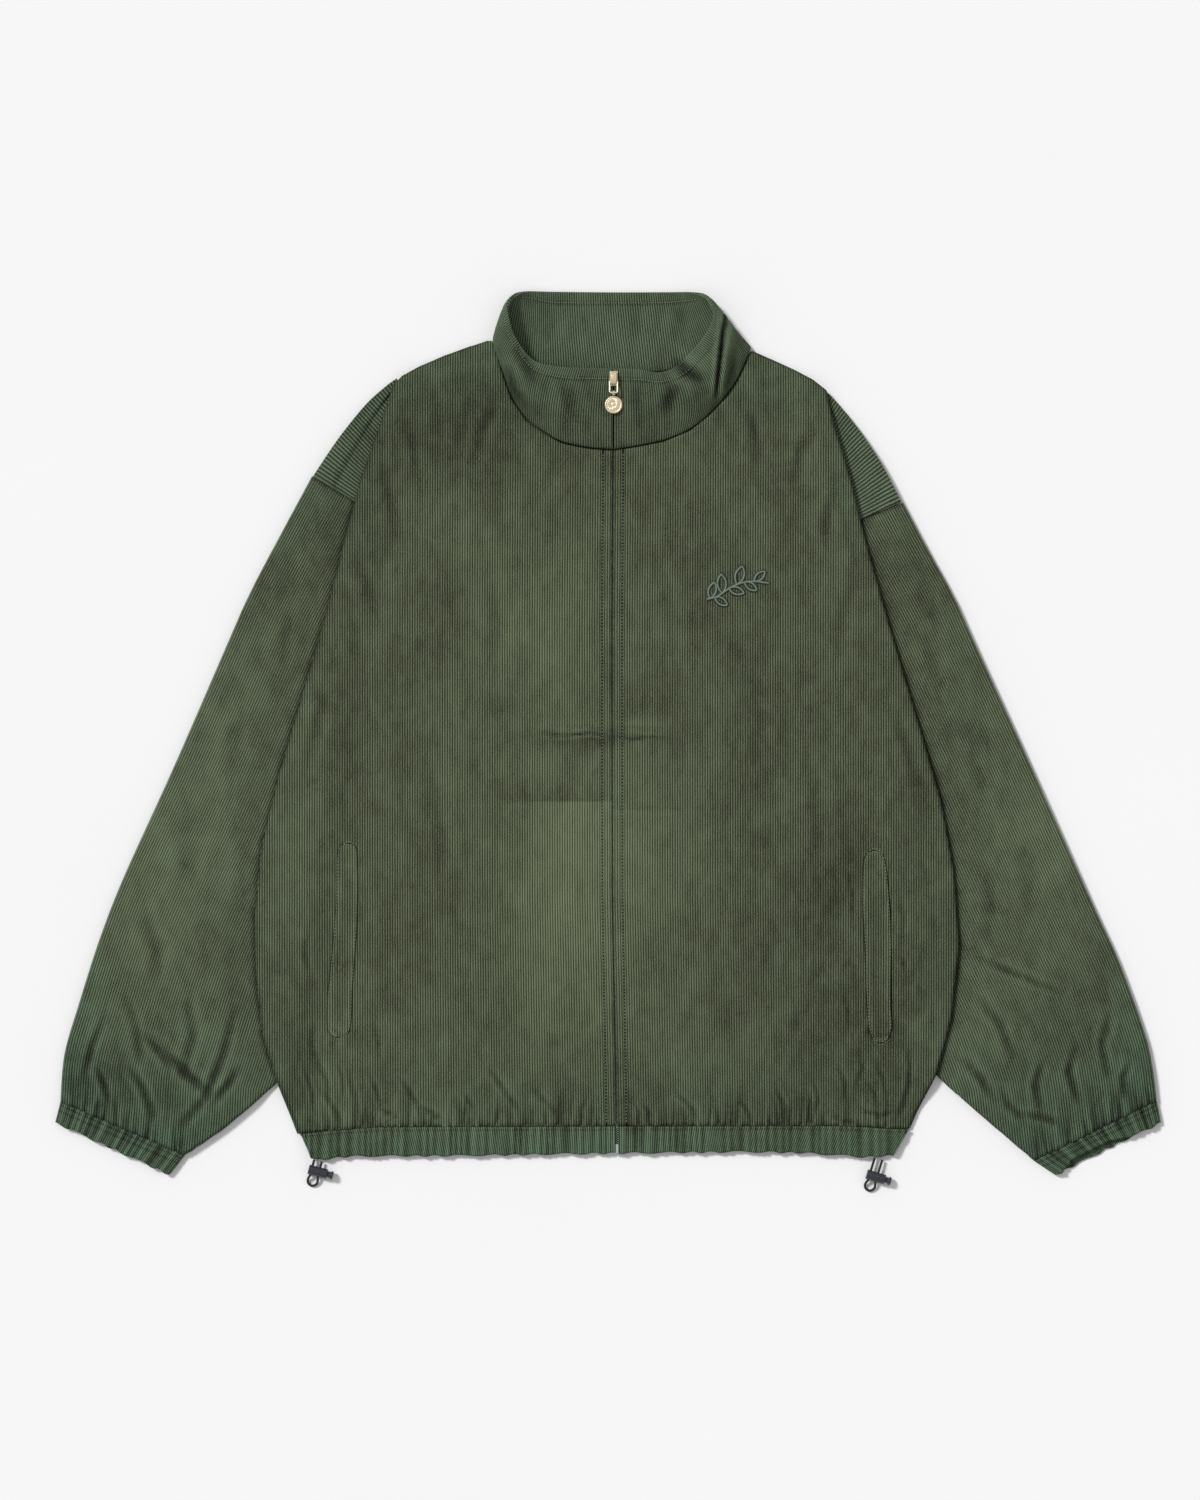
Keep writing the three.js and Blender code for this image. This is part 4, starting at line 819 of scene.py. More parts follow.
@dataclass
class Fronts:
    """The two fronts, with their folds, gathers and rolled edges."""

    heights: Heights
    roll: float = 1.7
    roll_radius: float = 3.0
    stitch_row: float = 9.0
    row_step: int = 4

    def upper_end(self, side: Side) -> list[Point]:
        """Upper outline as (x, y): armhole, shoulder and neck."""
        return [*BODY_EDGE[side][: WIDEST[side] + 1], *FRONT_NECK[side]]

    def lower_end(self, side: Side) -> list[Point]:
        """Lower outline as (x, y): side seam and hem seam."""
        last = BODY_EDGE[side][-1]
        seam = [(x, y) for x, y in HEM_SEAM if abs(x) < abs(last[0]) - 6]
        return [*side_seam(side), *seam]

    def shift(self, across: Array, y: Array) -> Array:
        """How far the zip's slant moves a wale sideways, fading away from the zip."""
        return (zip_line(y) - ZIP_MIDDLE) * (1.0 - smooth(0.0, 250.0, np.abs(across - ZIP_MIDDLE)))

    def edge_distance(self, side: Side, x: Array, y: Array) -> Array:
        """Distance to the sewn edges: armhole, shoulder, neck and side seam."""
        around = [*FRONT_NECK[side], *BODY_EDGE[side][: WIDEST[side]], *side_seam(side)]
        return nearest_on_line(np.array(around), x, y)[0]

    def gathers(self, side: Side) -> Gathers:
        """The folds above the hem seam."""
        low, high = (-278.0, 0.0) if side is LEFT else (8.0, 270.0)
        return Gathers(low, high, 5.2, 30.0, 1.15, 1.5, 41 if side is LEFT else 57)

    def relief(self, side: Side, x: Array, y: Array) -> Array:
        """Height of the folds: the gathers above the hem and the creases."""
        free = smooth(0.0, 22.0, -past_edge(side, x, y))
        away = y - look_up(HEM_SEAM, x)
        gathered = self.gathers(side).height(x, away) * smooth(4.0, 20.0, np.abs(x - zip_line(y))) * free
        return 1.25 * gathered + 1.35 * sum(crease.height(x, y) for crease in FRONT_CREASES)

    def tone(self, side: Side, x: Array, y: Array) -> Array:
        """Painted light and shade: fold ridges lighter, partly as wear, and troughs darker; painted shade in the
        grooves along the sewn rows beside the zip, in the zip's slit and along the side edge.
        """
        zip_distance = np.abs(x - zip_line(y))
        folds = 0.19 * np.clip(self.relief(side, x, y), -1.6, 0.9)
        rows = -1.1 * np.exp(-(((zip_distance - self.stitch_row) / 0.75) ** 2))
        slit = -0.35 * np.exp(-(((zip_distance - 0.9) / 0.7) ** 2))
        edge = -0.3 * np.exp(-((past_edge(side, x, y) / 2.2) ** 2))
        return folds + rows + slit + edge

    def height(self, side: Side, x: Array, y: Array, cloth_only: bool = False) -> Array:
        """The fronts' upper side without its wales.

        Args:
            side: left or right front.
            x: places in plan.
            y: places in plan.
            cloth_only: whether to leave the rolled edges out.

        Returns:
            Heights at those places.
        """
        base = self.heights.front_underside(side, x, y) + CLOTH - 0.15
        free = smooth(0.0, 30.0, -past_edge(side, x, y))
        zip_distance = np.abs(x - zip_line(y))
        base = base + self.relief(side, x, y)
        base = base + 0.55 * swell(x, y) * free * smooth(10.0, 60.0, zip_distance)
        puckers = 0.22 * np.sin(y / 3.1 + 1.2 * np.sin(y / 11.0)) * np.exp(-((zip_distance - 9) / 7) ** 2)
        placket = 0.35 * np.exp(-(((zip_distance - self.stitch_row) / 0.9) ** 2))
        base = base + puckers * smooth(-350.0, -200.0, y) - placket
        if cloth_only:
            return base
        edge = self.edge_distance(side, x, y)
        rolled = self.roll * (1.0 - roundness(edge, self.roll_radius))
        slit_roll = 0.9 * (1.0 - roundness(zip_distance - SLIT, 1.6))
        hem_roll = 1.3 * (1.0 - roundness(y - look_up(HEM_SEAM, x), 2.4))
        return base - np.maximum(np.maximum(rolled, slit_roll), hem_roll)

    def build(self, side: Side, material: bpy.types.Material) -> bpy.types.Object:
        """Makes one front: wales run up it and are cut by its outline."""
        widest = BODY_EDGE[side][WIDEST[side]][0]
        slit = ZIP_MIDDLE + side.sign * SLIT
        across = wale_columns(min(widest, slit), max(widest, slit))
        low = look_up(self.lower_end(side), across)
        high = np.maximum(look_up(self.upper_end(side), across), low + 2.0)
        stops = [low, low + 5, -300.0, -76.0, -56.0, -8.0, 8.0, high - 7, high]
        y = rows_between(stops, [3, 16, 22, 8, 5, 8, 26, 4])
        x = across + self.shift(across, y)
        weave = Weave(np.broadcast_to(across, y.shape), y, x, y, self.tone(side, x, y))
        z = self.height(side, x, y) + WALE_RELIEF * wale(weave.across)
        under = self.heights.front_underside(side, x, y)
        pick = (slice(None, None, self.row_step), slice(None, None, LINING_STEP))
        cloth = ClothMesh(f"front_{side.value}")
        cloth.add_wall(on_plan(x, y, z), on_plan(x, y, under)[pick], weave, self.row_step)
        piece = cloth.build("jacket", material)
        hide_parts(f"front_panel_{side.value}")
        return piece


@dataclass
class Back:
    """The back panel, seen from beneath: flat on the surface, with its wales and a few pressed folds."""

    heights: Heights
    row_step: int = 4

    def build(self, material: bpy.types.Material) -> bpy.types.Object:
        """Makes the back with its fine side down."""
        left, right = BODY_EDGE[LEFT], BODY_EDGE[RIGHT]
        wide_left, wide_right = left[WIDEST[LEFT]], right[WIDEST[RIGHT]]
        hidden = [(x, y + 3.0 * float(smooth(-106.0, -96.0, x) * smooth(131.0, 124.0, x))) for x, y in BACK_TOP]
        upper = [*left[4: WIDEST[LEFT] + 1], *hidden, *right[4: WIDEST[RIGHT] + 1]]
        seam = [(x, y) for x, y in HEM_SEAM if -274 < x < 266]
        lower = [*side_seam(LEFT), *seam, *side_seam(RIGHT)]
        across = wale_columns(wide_left[0], wide_right[0])
        low = look_up(lower, across)
        high = np.maximum(look_up(upper, across), low + 2.0)
        y = rows_between([low, low + 5, high - 7, high], [3, 26, 3])
        x = np.broadcast_to(across, y.shape)
        lift = self.heights.body_lift(x, y)
        folds = sum(crease.height(x, y) for crease in BACK_CREASES)
        edge = np.minimum(y - low, high - y)
        weave = Weave(x, y, x, y)
        under = lift + np.maximum(folds, 0.0) + WALE_RELIEF * (1.0 - wale(x)) + 0.7 * (1.0 - roundness(edge, 3.0))
        cloth = ClothMesh("back")
        pick = (slice(None, None, self.row_step), slice(None, None, LINING_STEP))
        cloth.add_wall(on_plan(x, y, under), on_plan(x, y, lift + CLOTH)[pick], weave, self.row_step, up=False)
        piece = cloth.build("jacket", material)
        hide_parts("back_panel")
        return piece


@dataclass
class Tube:
    """A flattened tube of cloth: an upper and a lower leaf that meet at rounded folds, with a lining side.

    Attributes:
        plan: gives places in plan for arrays of (across, along).
        across: places across the wales, one a column.
        along: places along the wales, rows by columns.
        top: upper side's heights, rows by columns, without wales.
        fold_rows: masks over the columns: where the first and the last row are folds.
        fold_columns: whether the first and the last column are folds.
        edge: distance to the nearest fold, rows by columns.
        radius: radius of the folds.
        wall: thickness of the cloth.
        row_step: fine rows to one coarse row.
        tone: lightness added to the nap's, painted light and shade of the folds, seams and edges.
    """

    plan: Callable[[Array, Array], tuple[Array, Array]]
    across: Array
    along: Array
    top: Array
    fold_rows: tuple[Array, Array]
    fold_columns: tuple[bool, bool]
    edge: Array
    radius: float = 3.4
    wall: float = 1.7
    row_step: int = 4
    tone: Array | float = 0.0

    def build(self, name: str, pitch: float, material: bpy.types.Material, cut_back: Array | None = None
              ) -> bpy.types.Object:
        """Makes the tube.

        Args:
            name: name of the piece.
            pitch: distance between two wales.
            material: its finish.
            cut_back: how far the upper leaf's rows are drawn back along the wales, rows by columns.

        Returns:
            The piece.
        """
        grid = np.broadcast_to(self.across, self.along.shape)
        fold = np.zeros(self.along.shape, bool)
        fold[0] |= self.fold_rows[0]
        fold[-1] |= self.fold_rows[1]
        fold[:, 0] |= self.fold_columns[0]
        fold[:, -1] |= self.fold_columns[1]
        edge = np.where(fold, 0.0, self.edge)
        bulge = roundness(edge, self.radius)
        middle = self.top * 0.46
        ribs = WALE_RELIEF * wale(grid, pitch) * smooth(0.0, 0.6, edge)
        upper = middle + (self.top - middle) * bulge + ribs
        lower = middle * (1.0 - bulge) + WALE_RELIEF * (1.0 - wale(grid, pitch)) * smooth(0.0, 0.6, edge)
        x, y = self.plan(grid, self.along)
        inset = np.where(fold, 1.9, 0.0)
        lining_across = grid.copy()
        lining_across[:, 0] += 1.9 * self.fold_columns[0]
        lining_across[:, -1] -= 1.9 * self.fold_columns[1]
        lining_along = self.along.copy()
        lining_along[0] += 4.0 * (inset[0] > 0) * self.fold_rows[0]
        lining_along[-1] -= 4.0 * (inset[-1] > 0) * self.fold_rows[1]
        lining_x, lining_y = self.plan(lining_across, lining_along)
        lining_top = np.maximum(self.top - self.wall, self.wall + 0.25)
        lining_top = np.where(fold, middle, np.minimum(lining_top, middle + edge * 1.5 + 0.2))
        lining_low = np.where(fold, middle, np.maximum(self.wall, middle - edge * 1.5 - 0.1))
        weave = Weave(grid, self.along, x, y, self.tone)
        pick = (slice(None, None, self.row_step), slice(None, None, LINING_STEP))
        coarse_fold = [mask[::LINING_STEP] for mask in self.fold_rows]
        closed = [mask[:-1] & mask[1:] for mask in coarse_fold]
        edges = OpenEdges(~closed[0], ~closed[1], not self.fold_columns[0], not self.fold_columns[1])
        upper_points = on_plan(x, y, upper)
        lining_points = on_plan(lining_x, lining_y, lining_top)
        if cut_back is not None:
            cut_x, cut_y = self.plan(grid, self.along - cut_back)
            upper_points = on_plan(cut_x, cut_y, upper)
            lining_points = on_plan(*self.plan(lining_across, lining_along - cut_back), lining_top)
        cloth = ClothMesh(name)
        cloth.add_wall(upper_points, lining_points[pick], weave, self.row_step, True, edges)
        low_lining = on_plan(lining_x, lining_y, lining_low)[pick]
        cloth.add_wall(on_plan(x, y, lower), low_lining, weave, self.row_step, False, edges)
        return cloth.build("jacket", material)


@dataclass
class Sleeve:
    """One sleeve: wales run parallel to its outer fold, and the inner edge and the seams cut them.

    Attributes:
        side: left or right.
        heights: the layers' heights.
    """

    side: Side
    heights: Heights
    row_step: int = 4
    samples: int = 500
    smoothing: int = 75
    run_out: float = 60.0

    def __post_init__(self) -> None:
        """Works out the outer fold's line, its lengths and its inward normals."""
        curve = curve_through(np.array(SLEEVE_OUTER[self.side]), self.samples)
        first = curve[0] - curve[1]
        last = curve[-1] - curve[-2]
        ahead = np.arange(1.0, self.run_out + 0.5)[:, None]
        before = curve[0] + first / np.hypot(*first) * ahead[::-1]
        after = curve[-1] + last / np.hypot(*last) * ahead
        self.line = np.vstack([before, curve, after])
        lengths = np.hypot(*np.diff(self.line, axis=0).T)
        self.reach = np.concatenate([[0.0], np.cumsum(lengths)]) - self.run_out
        tangent = np.gradient(self.line, axis=0) / np.gradient(self.reach)[:, None]
        window = np.exp(-np.linspace(-2.2, 2.2, 2 * self.smoothing + 1) ** 2)
        padded = np.pad(tangent, ((self.smoothing, self.smoothing), (0, 0)), "edge")
        window /= window.sum()
        tangent = np.stack([np.convolve(padded[:, axis], window, "valid") for axis in (0, 1)], -1)
        tangent /= np.hypot(*tangent.T)[:, None]
        self.normal = np.stack([tangent[:, 1], -tangent[:, 0]], -1) * self.side.sign

    def plan(self, across: Array, along: Array) -> tuple[Array, Array]:
        """Places in plan: the outer fold's line at a length along it, moved inwards by the distance across."""
        place = [np.interp(along, self.reach, self.line[:, axis]) for axis in (0, 1)]
        inward = [np.interp(along, self.reach, self.normal[:, axis]) for axis in (0, 1)]
        return place[0] + across * inward[0], place[1] + across * inward[1]

    def to_wales(self, points: Array) -> Array:
        """(across, along) of places in plan: where the inward normal from the fold's line meets each."""
        apart = points[:, None, :] - self.line[None, :, :]
        aside = np.abs(apart[..., 0] * self.normal[:, 1] - apart[..., 1] * self.normal[:, 0])
        nearest = np.argmin(aside + 1e3 * ((apart * self.normal).sum(-1) < -1.0), 1)
        offset = apart[np.arange(len(points)), nearest]
        return np.stack([(offset * self.normal[nearest]).sum(-1), self.reach[nearest]], -1)

    def build(self, material: bpy.types.Material) -> bpy.types.Object:
        """Makes the sleeve as a flattened tube, open at the cross seam and at the cuff."""
        inner = np.array(SLEEVE_INNER[self.side])
        hidden = curve_through(inner[: NOTCH + 1], 60)
        notch = curve_through(inner[NOTCH:], 24)
        start = self.to_wales(hidden)
        end = self.to_wales(notch)
        length = self.reach[-1] - self.run_out
        widest = float(min(start[-1, 0], end[0, 0]))
        across = wale_columns(0.0, widest)
        low = np.interp(across, np.r_[0.0, start[:, 0]], np.r_[0.0, start[:, 1]])
        low = low - 0.6 * (across < start[0, 0])
        order = np.argsort(end[:, 0])
        high = np.interp(across, np.r_[0.0, end[order, 0]], np.r_[length, end[order, 1]])
        high = np.maximum(high, low + 2.0)
        along = rows_between([low, low + 6, high - 235, high - 72, high - 7, high], [3, 15, 36, 20, 4])
        grid = np.broadcast_to(across, along.shape)
        x, y = self.plan(grid, along)
        fold_edge = np.minimum(grid, nearest_on_line(hidden, x, y)[0])
        fold_edge = np.minimum(fold_edge, nearest_on_line(notch, x, y)[0])
        free = smooth(0.0, 30.0, past_edge(self.side, x, y)) * smooth(0.0, 16.0, fold_edge)
        top = self.heights.sleeve_top(self.side, x, y) - 0.2
        gathers = Gathers(0.0, end[-1, 0], 4.6, 34.0, 1.5, 1.6, 23 if self.side is LEFT else 31)
        away = high - along
        relief = gathers.height(grid, away) * smooth(0.0, 6.0, grid) * smooth(0.0, 8.0, fold_edge)
        relief = relief + free * 1.5 * sum(crease.height(x, y) for crease in SLEEVE_CREASES[self.side])
        top = top + relief + free * 0.8 * swell(y, x)
        # Painted light on fold ridges and painted shade in their troughs, painted shadow beside the body's edge, and
        # painted shade along the sleeve's two ends
        tone = 0.17 * np.clip(relief, -1.8, 1.2) - 0.4 * np.exp(-((past_edge(self.side, x, y) / 3.5) ** 2))
        tone = tone - 0.3 * np.exp(-((away / 2.0) ** 2)) - 0.3 * np.exp(-(((along - low) / 1.6) ** 2))
        top = top - 1.1 * (1.0 - roundness(along - low, 2.5)) * (start[0, 0] > grid)
        top = top - 1.3 * (1.0 - roundness(away, 3.0)) * (end[-1, 0] > grid)
        keep_clear = past_edge(self.side, x, y) < OUT_MARGIN
        top = np.where(keep_clear, np.minimum(top, SLEEVE_LOW - 0.35), top)
        top = np.maximum(top, 4.0)
        tube = Tube(self.plan, across, along, top, (across >= start[0, 0], across >= end[-1, 0]), (True, True),
                    fold_edge, tone=tone)
        piece = tube.build(f"sleeve_cloth_{self.side.value}", WALE, material)
        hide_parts(f"sleeve_{self.side.value}")
        return piece

    def cuff_seam(self) -> tuple[Array, Array]:
        """Inner and outer corner of the seam at the cuff."""
        return np.array(SLEEVE_INNER[self.side][-1]), np.array(SLEEVE_OUTER[self.side][-1])


@dataclass
class Cuff:
    """An elastic cuff: a short gathered tube with an open mouth."""

    side: Side
    sleeve: Sleeve
    pitch: float = 2.0
    row_step: int = 4

    def build(self, material: bpy.types.Material) -> bpy.types.Object:
        """Makes the cuff, its wales across the band and its mouth open."""
        seam_inner, seam_outer = self.sleeve.cuff_seam()
        hand_inner, hand_outer = (np.array(p) for p in CUFF_ENDS[self.side])
        width = float(np.hypot(*(seam_outer - seam_inner)))
        length = float(np.hypot(*((hand_inner + hand_outer - seam_inner - seam_outer) / 2)))
        across = wale_columns(0.0, width, self.pitch)

        def plan(cross: Array, along: Array) -> tuple[Array, Array]:
            """Places between the seam and the hand end, in straight lines."""
            s, t = (cross / width)[..., None], (along / length)[..., None]
            seam = seam_outer + (seam_inner - seam_outer) * s
            hand = hand_outer + (hand_inner - hand_outer) * s
            ripple = 0.9 * np.sin(cross / 3.3 + 1.4 * np.sin(cross / 9.0))[..., None] * smooth(0.75, 1.0, t)
            step = (hand - seam) / length
            place = seam + (hand - seam) * t - step * ripple * (0.5 + 0.5 * t)
            return place[..., 0], place[..., 1]

        start = np.full(across.shape, -0.5)
        along = rows_between([start, start + 2.5, length - 2.5, np.full(across.shape, length)], [4, 12, 4])
        grid = np.broadcast_to(across, along.shape)
        draw = np.random.default_rng(7 if self.side is LEFT else 9)
        phase = draw.uniform(0, 6, 3)
        wave = np.sin(grid / 1.15 + 2.2 * np.sin(grid / 8.5 + phase[0]) + 0.03 * along + phase[1])
        small = np.sin(grid / 2.7 + phase[2] + 1.6 * np.sin(grid / 11.0))
        taper = smooth(0.0, 9.0, grid) * smooth(0.0, 9.0, width - grid)
        ends = roundness(along + 0.3, 2.6) * roundness(length - along + 0.4, 2.4)
        stitch = np.exp(-(((along - 3.2) / 0.8) ** 2)) + np.exp(-(((length - along - 12.0) / 0.9) ** 2))
        folds = taper * (0.6 * wave + 0.6 * small)
        top = SLEEVE_LOW + 1.0 + folds + 0.6 * taper - 1.3 * (1.0 - ends) - 0.4 * stitch
        # Painted light on the gathers' ridges and painted shade in their troughs, in the stitch channels and on the
        # rolled ends
        tone = 0.26 * folds - 0.3 * stitch - 0.25 * (1.0 - ends)
        fold_edge = np.minimum(grid, width - grid)
        no_rows = np.zeros(across.shape, bool)
        tube = Tube(plan, across, along, np.maximum(top, 4.4), (no_rows, no_rows), (True, True), fold_edge,
                    radius=2.6, wall=1.6, tone=tone)
        cut_back = None
        if self.side is RIGHT:
            span = smooth(8.0, 30.0, width - grid) * smooth(26.0, 60.0, grid)
            cut_back = 6.5 * span * smooth(0.45, 1.0, along / length)
        piece = tube.build(f"cuff_cloth_{self.side.value}", self.pitch, material, cut_back)
        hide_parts(f"cuff_{self.side.value}")
        return piece


@dataclass
class ShoulderInset:
    """The inset between the armhole and the cross seam, its wales spread like a fan."""

    side: Side
    heights: Heights
    pitch: float = INSET_WALE

    def build(self, material: bpy.types.Material) -> bpy.types.Object:
        """Makes the inset as a flattened tube, open at the tip and at the cross seam."""
        sections = curve_through(np.array(INSET_SECTIONS[self.side]), 80)
        middle = (sections[:, :2] + sections[:, 2:]) / 2
        reach = np.r_[0.0, np.cumsum(np.hypot(*np.diff(middle, axis=0).T))]

        def plan(across: Array, along: Array) -> tuple[Array, Array]:
            """Places between the inner and the outer edge: along runs from 0 to the section's width."""
            ends = [np.interp(across, reach, sections[:, axis]) for axis in range(4)]
            width = np.hypot(ends[2] - ends[0], ends[3] - ends[1])
            t = along / width
            return ends[0] + (ends[2] - ends[0]) * t, ends[1] + (ends[3] - ends[1]) * t

        across = wale_columns(0.0, float(reach[-1]), self.pitch)
        width = np.interp(across, reach, np.hypot(*(sections[:, 2:] - sections[:, :2]).T))
        zero = np.zeros(across.shape)
        along = rows_between([zero, zero + 3.5, width - 4, width], [4, 12, 8])
        grid = np.broadcast_to(across, along.shape)
        x, y = plan(grid, along)
        fold_edge = np.minimum(along, width - along)
        top = self.heights.sleeve_top(self.side, x, y) - 0.2
        free = smooth(2.0, 20.0, past_edge(self.side, x, y)) * smooth(0.0, 12.0, fold_edge)
        top = top + free * 0.6 * swell(2 * x, 2 * y)
        top = top - 1.1 * (1.0 - roundness(reach[-1] - grid, 2.5))
        top = np.where(past_edge(self.side, x, y) < OUT_MARGIN, np.minimum(top, SLEEVE_LOW - 0.35), top)
        folds = np.ones(across.shape, bool)
        # Painted highlight along the rounded outer fold and painted shade along the inner edge by the body
        tone = 0.22 * np.exp(-(((width - along - 2.4) / 1.5) ** 2)) - 0.3 * np.exp(-((along / 3.0) ** 2))
        tube = Tube(plan, across, along, np.maximum(top, 4.0), (folds, folds), (False, False), fold_edge, tone)
        piece = tube.build(f"inset_cloth_{self.side.value}", self.pitch, material)
        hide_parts(f"shoulder_inset_{self.side.value}")
        return piece


@dataclass
class HemBands:
    """The gathered bands at the hem: two in front, one behind."""

    pitch: float = 2.05
    row_step: int = 4

    def plan(self, across: Array, down: Array, span: tuple[Point, Point]) -> tuple[Array, Array]:
        """Places on a band: straight from the seam's end to the edge's end, between the hem's two curves."""
        (seam_low, seam_high), (edge_low, edge_high) = span
        share = (across - across.min()) / (across.max() - across.min())
        x_seam = seam_low + (seam_high - seam_low) * share
        x_edge = edge_low + (edge_high - edge_low) * share
        x = x_seam + (x_edge - x_seam) * down
        seam = look_up(HEM_SEAM, x) - 0.3
        ripple = 0.8 * np.sin(x / 3.6 + 1.5 * np.sin(x / 13.0)) * smooth(0.7, 1.0, down)
        y = seam + (look_up(HEM_EDGE, x) - seam + ripple) * down
        return x, y

    def wave(self, x: Array) -> Array:
        """Uneven gathers along the hem: three sine waves whose phases wander, from -1 to 1."""
        quick = np.sin(x / 1.12 + 2.6 * np.sin(x / 11.0) + 1.2 * np.sin(x / 4.3))
        slow = np.sin(x / 2.75 + 1.6 * np.sin(x / 19.0) + 0.9 * np.sin(x / 7.3))
        broad = np.sin(x / 6.3 + 1.1 * np.sin(x / 31.0))
        return 0.5 * quick + 0.3 * slow + 0.2 * broad

    def build(self, name: str, replaced: str, span: tuple[Point, Point], front: bool,
              material: bpy.types.Material) -> bpy.types.Object:
        """Makes one band.

        Args:
            name: name of the piece.
            replaced: the frame's node that it stands for.
            span: X of its ends at the seam, and at the edge.
            front: whether it is a front band, seen from above.
            material: its finish.

        Returns:
            The piece.
        """
        across = wale_columns(span[0][0], span[0][1], self.pitch)
        count = across.shape
        stops = [np.zeros(count), np.full(count, 0.1), np.full(count, 0.88), np.ones(count)]
        rows = rows_between(stops, [4, 8, 4])
        down = rows[::-1]
        grid = np.broadcast_to(across, down.shape)
        x, y = self.plan(grid, down, span)
        width = 25.0
        edge = np.minimum(down, 1.0 - down) * width
        wave = self.wave(x)
        pick = (slice(None, None, self.row_step), slice(None, None, LINING_STEP))
        cloth = ClothMesh(name)
        ribs = WALE_RELIEF * wale(grid, self.pitch)
        roll = 1.5 * (1.0 - roundness(edge + 0.1, 2.6))
        channel = 0.45 * np.exp(-(((down * width - 3.0) / 0.9) ** 2)) + 0.3 * np.exp(-(((down * width - 20.5) / 1.0) ** 2))
        # Painted light on the gathers' ridges and painted shade in their troughs, in the stitch channels and on the
        # rolled edges
        weave = Weave(grid, y, x, y, 0.27 * wave - 0.4 * channel - 0.12 * roll)
        if front:
            under = 4.3 + 0.7 * wave
            top = under + CLOTH + 0.5 * wave - 0.1 - roll - channel + ribs
            cloth.add_wall(on_plan(x, y, top), on_plan(x, y, under)[pick], weave, self.row_step)
        else:
            under = WALE_RELIEF - ribs + 0.5 * roll
            top = CLOTH + 0.2 + 0.3 * wave
            cloth.add_wall(on_plan(x, y, np.maximum(under, 0.0)), on_plan(x, y, top)[pick], weave, self.row_step, False)
        piece = cloth.build("jacket", material)
        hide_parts(replaced)
        return piece

    def build_all(self, material: bpy.types.Material) -> None:
        """Makes the three bands."""
        (left_seam, left_edge), (right_seam, right_edge) = HEM_SIDES[LEFT], HEM_SIDES[RIGHT]
        seam_zip, edge_zip = float(zip_line(np.array(-354.0))), float(zip_line(np.array(-380.0)))
        back = ((left_seam, right_seam), (left_edge, right_edge))
        left = ((left_seam, seam_zip - HEM_SLIT), (left_edge, edge_zip - HEM_SLIT))
        right = ((seam_zip + HEM_SLIT, right_seam), (edge_zip + HEM_SLIT, right_edge))
        self.build("hem_back", "hem_band_back", back, False, material)
        self.build("hem_front_left", "hem_band_front_left", left, True, material)
        self.build("hem_front_right", "hem_band_front_right", right, True, material)


